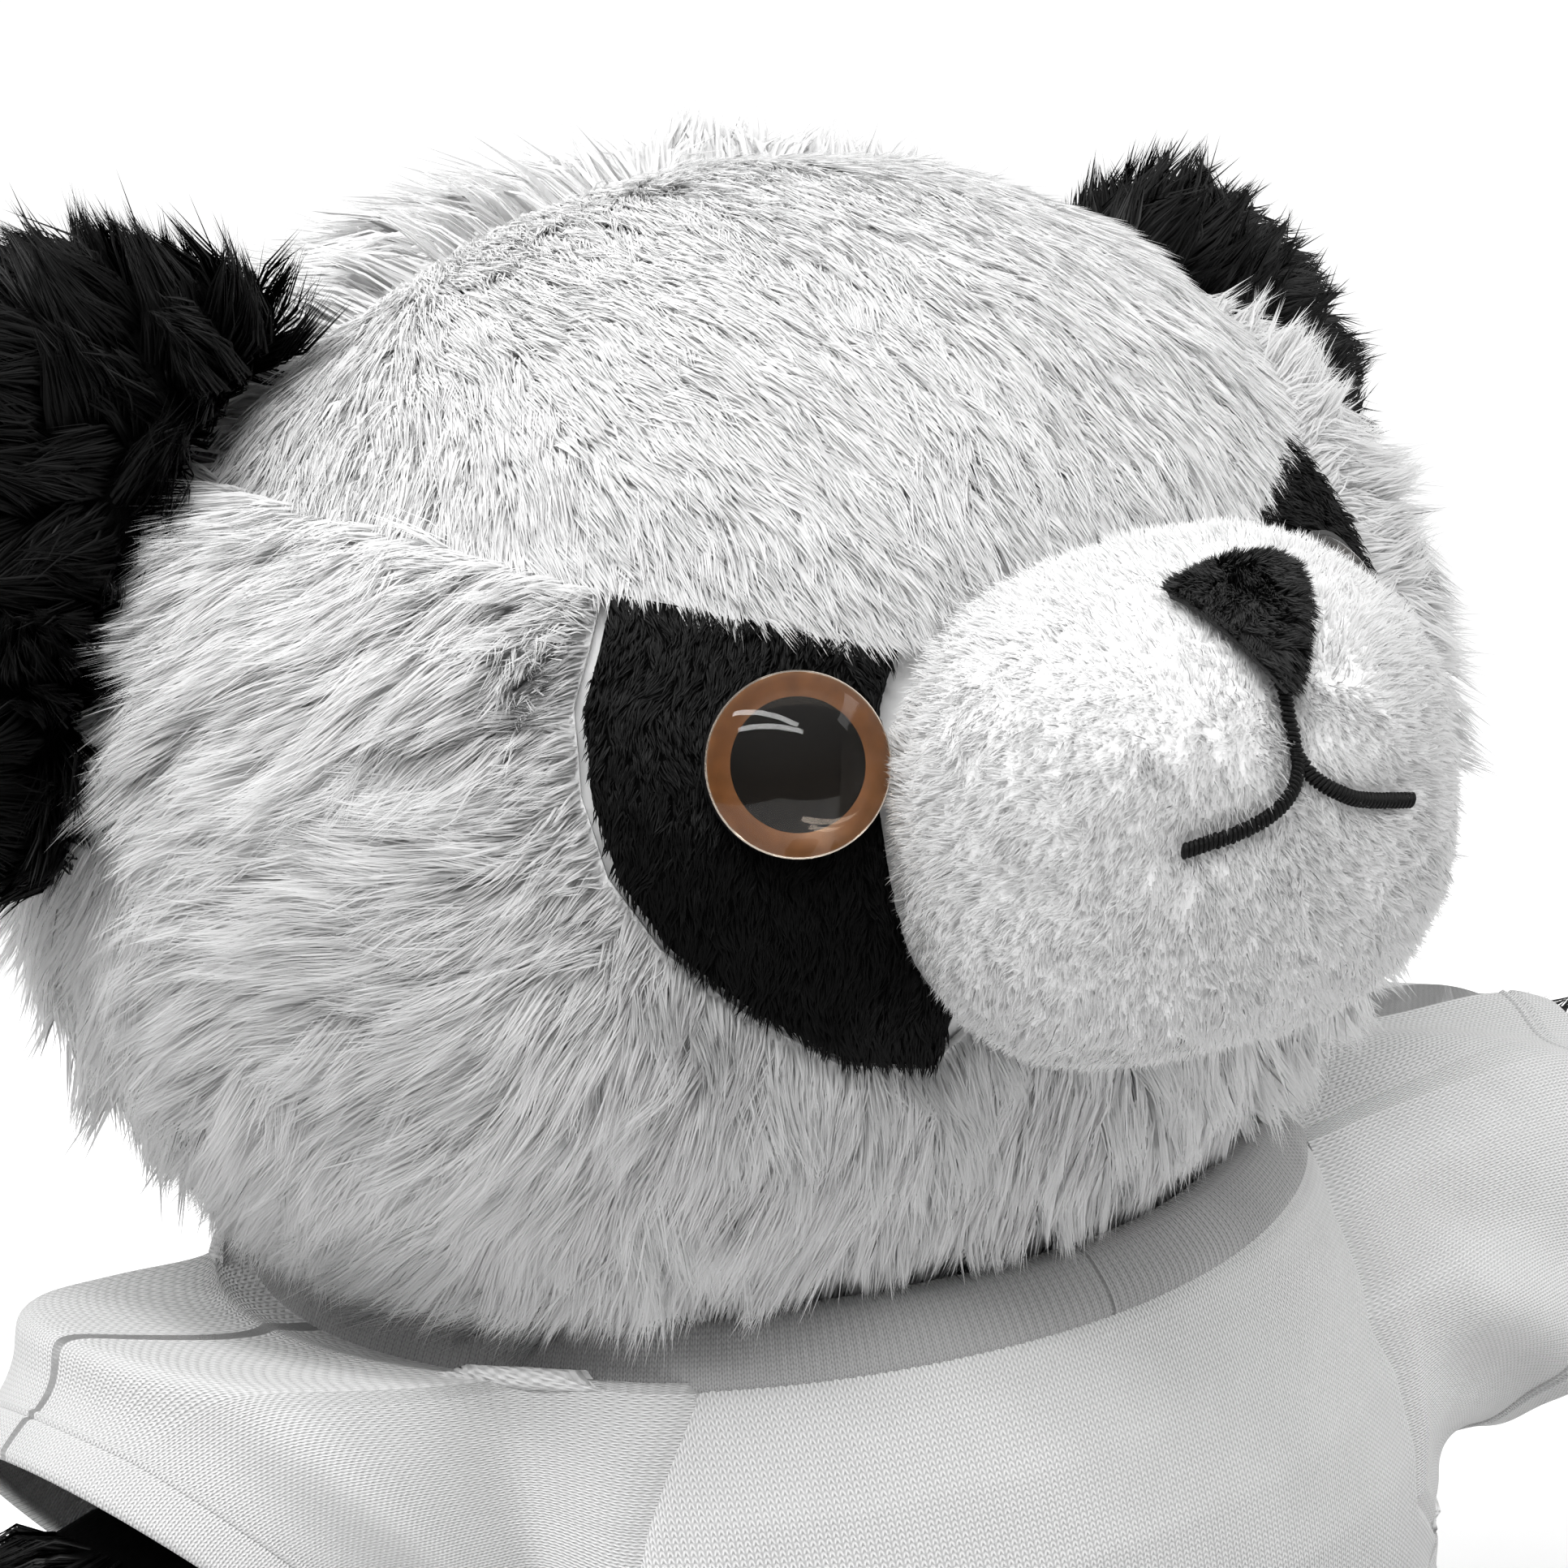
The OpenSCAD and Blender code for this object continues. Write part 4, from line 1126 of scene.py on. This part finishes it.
# %% Sleeves
def sleeve_form(side, s, t, length, off, push):
    """From the armhole seam (t = 0) to the hem (t = 1). s runs around, from the top towards the front."""
    slope = math.radians({"right": 40, "left": 22}[side])
    c6, s6 = math.cos(math.radians(6)), math.sin(math.radians(6))
    d = np.array([c6 * math.cos(slope), -s6 * math.cos(slope), -math.sin(slope)])
    up = np.array([-d[0] * d[2], 0, d[0] ** 2])
    up /= np.linalg.norm(up)
    ahead = np.cross(d, up)
    turn = s * math.tau
    spoke = up * np.cos(turn)[:, None] + ahead * np.sin(turn)[:, None]
    hem = SHOULDER / MM + d * length + np.array(push)
    r = (21.5 + off)[:, None]
    rim, middle = hem + r * spoke, hem - d * 13 + (r + 1.5) * spoke
    h = np.where(s < 0.5, 2 * s, 2 - 2 * s)
    z = NECK + (48.5 - NECK) * np.interp(h, [0, 0.16, 0.2, 0.26, 0.42, 0.6, 0.85, 1],
                                      [0.0, 0.0, 0.02, 0.09, 0.28, 0.55, 0.92, 1])
    most = np.interp(h, [0, 0.16, 1], [0, 1, 1])
    y = np.where(s < 0.5, -1, 1) * seam_line(side, z) * most
    q = np.clip(y / girth(z, 56), -1, 1)
    root = np.stack([(girth(z, 61) + off) * np.sqrt(1 - q * q), y * (girth(z, 56) + off) / girth(z, 56), z], 1)
    t = t[:, None]
    p = root * (1 - t) ** 2 + middle * 2 * t * (1 - t) + rim * t * t
    return p * np.array([-1 if side == "right" else 1, 1, 1])


def near_folds(s, t):
    """The raised arm pushes this sleeve up, so it bunches in one deep roll over the shoulder."""
    front_half = np.exp(-(((s + 0.5) % 1.0 - 0.5 - 0.05) / 0.22) ** 2)
    roll = 5.4 * np.exp(-(((t - 0.52) / 0.15) ** 2)) - 4.6 * np.exp(-(((t - 0.22) / 0.09) ** 2))
    return roll * (0.25 + 0.75 * front_half)


def far_folds(s, t):
    """Long folds run from the top of the armhole down and outwards."""
    x = (s * 9.0 - t * 1.1) * math.tau
    return (1.9 * np.sin(x * 0.62) + 0.9 * np.sin(x * 1.1 + 1)) * step(0.02, 0.35, t) * (1 - 0.5 * t)


PUSH = {"right": (-0.5, 0, 2.0), "left": (0, 0, -4.5)}
for side, sign, folds in (("right", -1, near_folds), ("left", 1, far_folds)):
    root = SHOULDER * np.array([sign, 1, 1])
    out = unit((np.array(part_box(f"arm_stuffing_{side}")).mean(0) - root)[None])[0]
    for part, a, b, proud, rows in (("sleeve", -0.035, 0.84, 0.0, 50), ("sleeve_hem", 0.80, 1.0, 0.35, 22)):
        obj, s, t = cloth_tube(f"{part}_cloth_{side}", 160, rows)
        t = a + (b - a) * t
        t = np.where(np.abs(s - 0.5) > 0.39, np.maximum(t, 0.004), t)
        zero = np.zeros(len(s))
        p = sleeve_form(side, s, t, SLEEVE[side], zero, PUSH[side])
        off = 1.1 + folds(s, t) + 0.4 * waves(p, 12, 95)[:, 0] * step(0.05, 0.25, t) + proud
        off -= 0.9 * (1 - step(-0.035, 0.03, t)) - 0.3 * np.exp(-(((t - 0.06) / 0.03) ** 2))
        if proud:
            stitches = 0.4 * np.exp(-(((t - 0.835) / 0.008) ** 2))
            off -= stitches + 0.5 * (1 - step(0.8, 0.815, t)) + 0.5 * step(0.975, 1.0, t)
        p = sleeve_form(side, s, t, SLEEVE[side], off, PUSH[side])
        flat = np.stack([s * 150, t * 34], 1)
        tailor(obj, p, flat, jersey_sleeve, 1.5 if proud else 0.8, None, [f"{part}_{side}"],
               (70 * sign, -2, 70))
        tuple(root - out * 0.012)
        tuple(root + out * (0.010 if side == "right" else 0.022))
        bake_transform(obj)

# %% [markdown]
# The collar is a band of one-by-one rib. Its ribs are real ridges here, a little under a millimetre
# apart, because they catch the light one by one. It starts as an open cylinder.


# %% Collar
obj, s, t = cloth_tube("collar_rib_cloth", 1650, 8)
a = s * math.tau
roll = np.clip((t - 0.84) / 0.16, 0, 1)
ridge = 0.24 * (1 - np.abs(np.sin(a * 330 / 2)) ** 1.4) * step(0.0, 0.1, t)
sag = 0.3 * waves(np.stack([np.cos(a), np.sin(a), 0 * a], 1) * 49, 16, 97)[:, 0]
r = 49 + 1.5 - 4.6 * t + 0.7 * np.sin(t * math.pi) + ridge + sag * step(0, 0.4, t) - 1.2 * roll**2
r -= 0.5 * (1 - step(0, 0.08, t))
p = np.stack([r * np.sin(a), -r * np.cos(a), NECK - 1.1 + 5.9 * t - 0.3 * roll**2], 1)
collar = tailor(obj, p, np.stack([s * 308, t * 8], 1), rib_painted_shadow, 1.2, "torso", ["collar_rib"], (0, 0, NECK))

# %% The shirt is done
print("shirt and collar made")

# %% [markdown]
# Inside are polyester filling and the plastic posts and washers of the eyes. They keep their packed
# shapes and get the finish of the real thing.

# %% Filling and plastic
filling = backing_finish("filling", 0.75, 0.86, 300.0)
black_plastic = speckled("black_plastic", 300.0, grey(0.004), grey(0.01), Roughness=0.3)
washer_plastic = speckled("washer_plastic", 200.0, grey(0.7), grey(0.8), Roughness=0.4)
for name, obj in frame["nodes"].items():
    given = None
    if "stuffing" in name or name == "neck_seam_band":
        given = filling
    elif "shank" in name:
        given = black_plastic
    elif "washer" in name:
        given = washer_plastic
    if given:
        for slot_ in obj.material_slots:
            slot_.material = given.material

# %% [markdown]
# The toy stands on a pale floor in a pale room that is brighter overhead. Two long tubes hang in front
# of its near side, and a small soft box fills in from the other.


# %% Floor and light
def floor():
    bpy.ops.object.select_all(action="DESELECT")
    level = cad_box[0][2] - 0.5 * MM
    bpy.ops.mesh.primitive_grid_add(x_subdivisions=8, y_subdivisions=8, size=0.8, location=(0, 0, level))
    obj = bpy.context.object
    obj.name = "floor"
    bpy.ops.object.transform_apply(location=True)
    paint = speckled("pale_floor", 3.0, grey(0.86), grey(0.88), Roughness=0.8, Emission_Color=grey(1),
                     Emission_Strength=0.14)
    obj.data.materials.append(paint.material)


def soft_box(name, at, aim, size, watts):
    data = bpy.data.lights.new(name, "AREA")
    data.shape, data.size, data.size_y = "RECTANGLE", size[0], size[1]
    data.energy = watts
    obj = bpy.data.objects.new(name, data)
    bpy.context.collection.objects.link(obj)
    obj.location = at
    obj.rotation_euler = (Vector(aim) - Vector(at)).to_track_quat("-Z", "Y").to_euler()


def sky(below, level, above, seen):
    """A soft room: brighter overhead than at the sides. The camera sees it as one pale wall."""
    world = bpy.data.worlds.new("room")
    bpy.context.scene.world = world
    world.use_nodes = True
    tree = world.node_tree
    start = Value(tree, None)
    up = start.node("ShaderNodeSeparateXYZ", {}, {0: start.node("ShaderNodeTexCoord", out=0)}, out=2)
    stops = [(0.0, grey(below)), (0.5, grey(level)), (1.0, grey(above))]
    glow = (up * 0.5 + 0.5).node("ShaderNodeValToRGB", {"stops": stops}, {0: up * 0.5 + 0.5})
    lamp = start.node("ShaderNodeBackground", {}, {0: glow, 1: 1.0})
    wall = start.node("ShaderNodeBackground", {}, {0: grey(1.0), 1: seen})
    camera_ray = start.node("ShaderNodeLightPath")
    both = start.node("ShaderNodeMixShader", {}, {0: camera_ray, 1: lamp, 2: wall})
    out = next(n for n in tree.nodes if n.type == "OUTPUT_WORLD")
    tree.links.new(both.socket, out.inputs[0])


floor()
sky(0.12, 0.24, 1.15, 1.05)
soft_box("tube_a", HEAD + np.array([-0.38, -0.28, 0.62]), HEAD, (0.9, 0.07), 4.2)
soft_box("tube_b", HEAD + np.array([-0.30, -0.12, 0.68]), HEAD, (0.9, 0.07), 4.2)
soft_box("fill", HEAD + np.array([0.45, -0.25, 0.2]), HEAD, (0.4, 0.4), 1.3)
bpy.context.scene.view_settings.view_transform = "Standard"
print("lit")
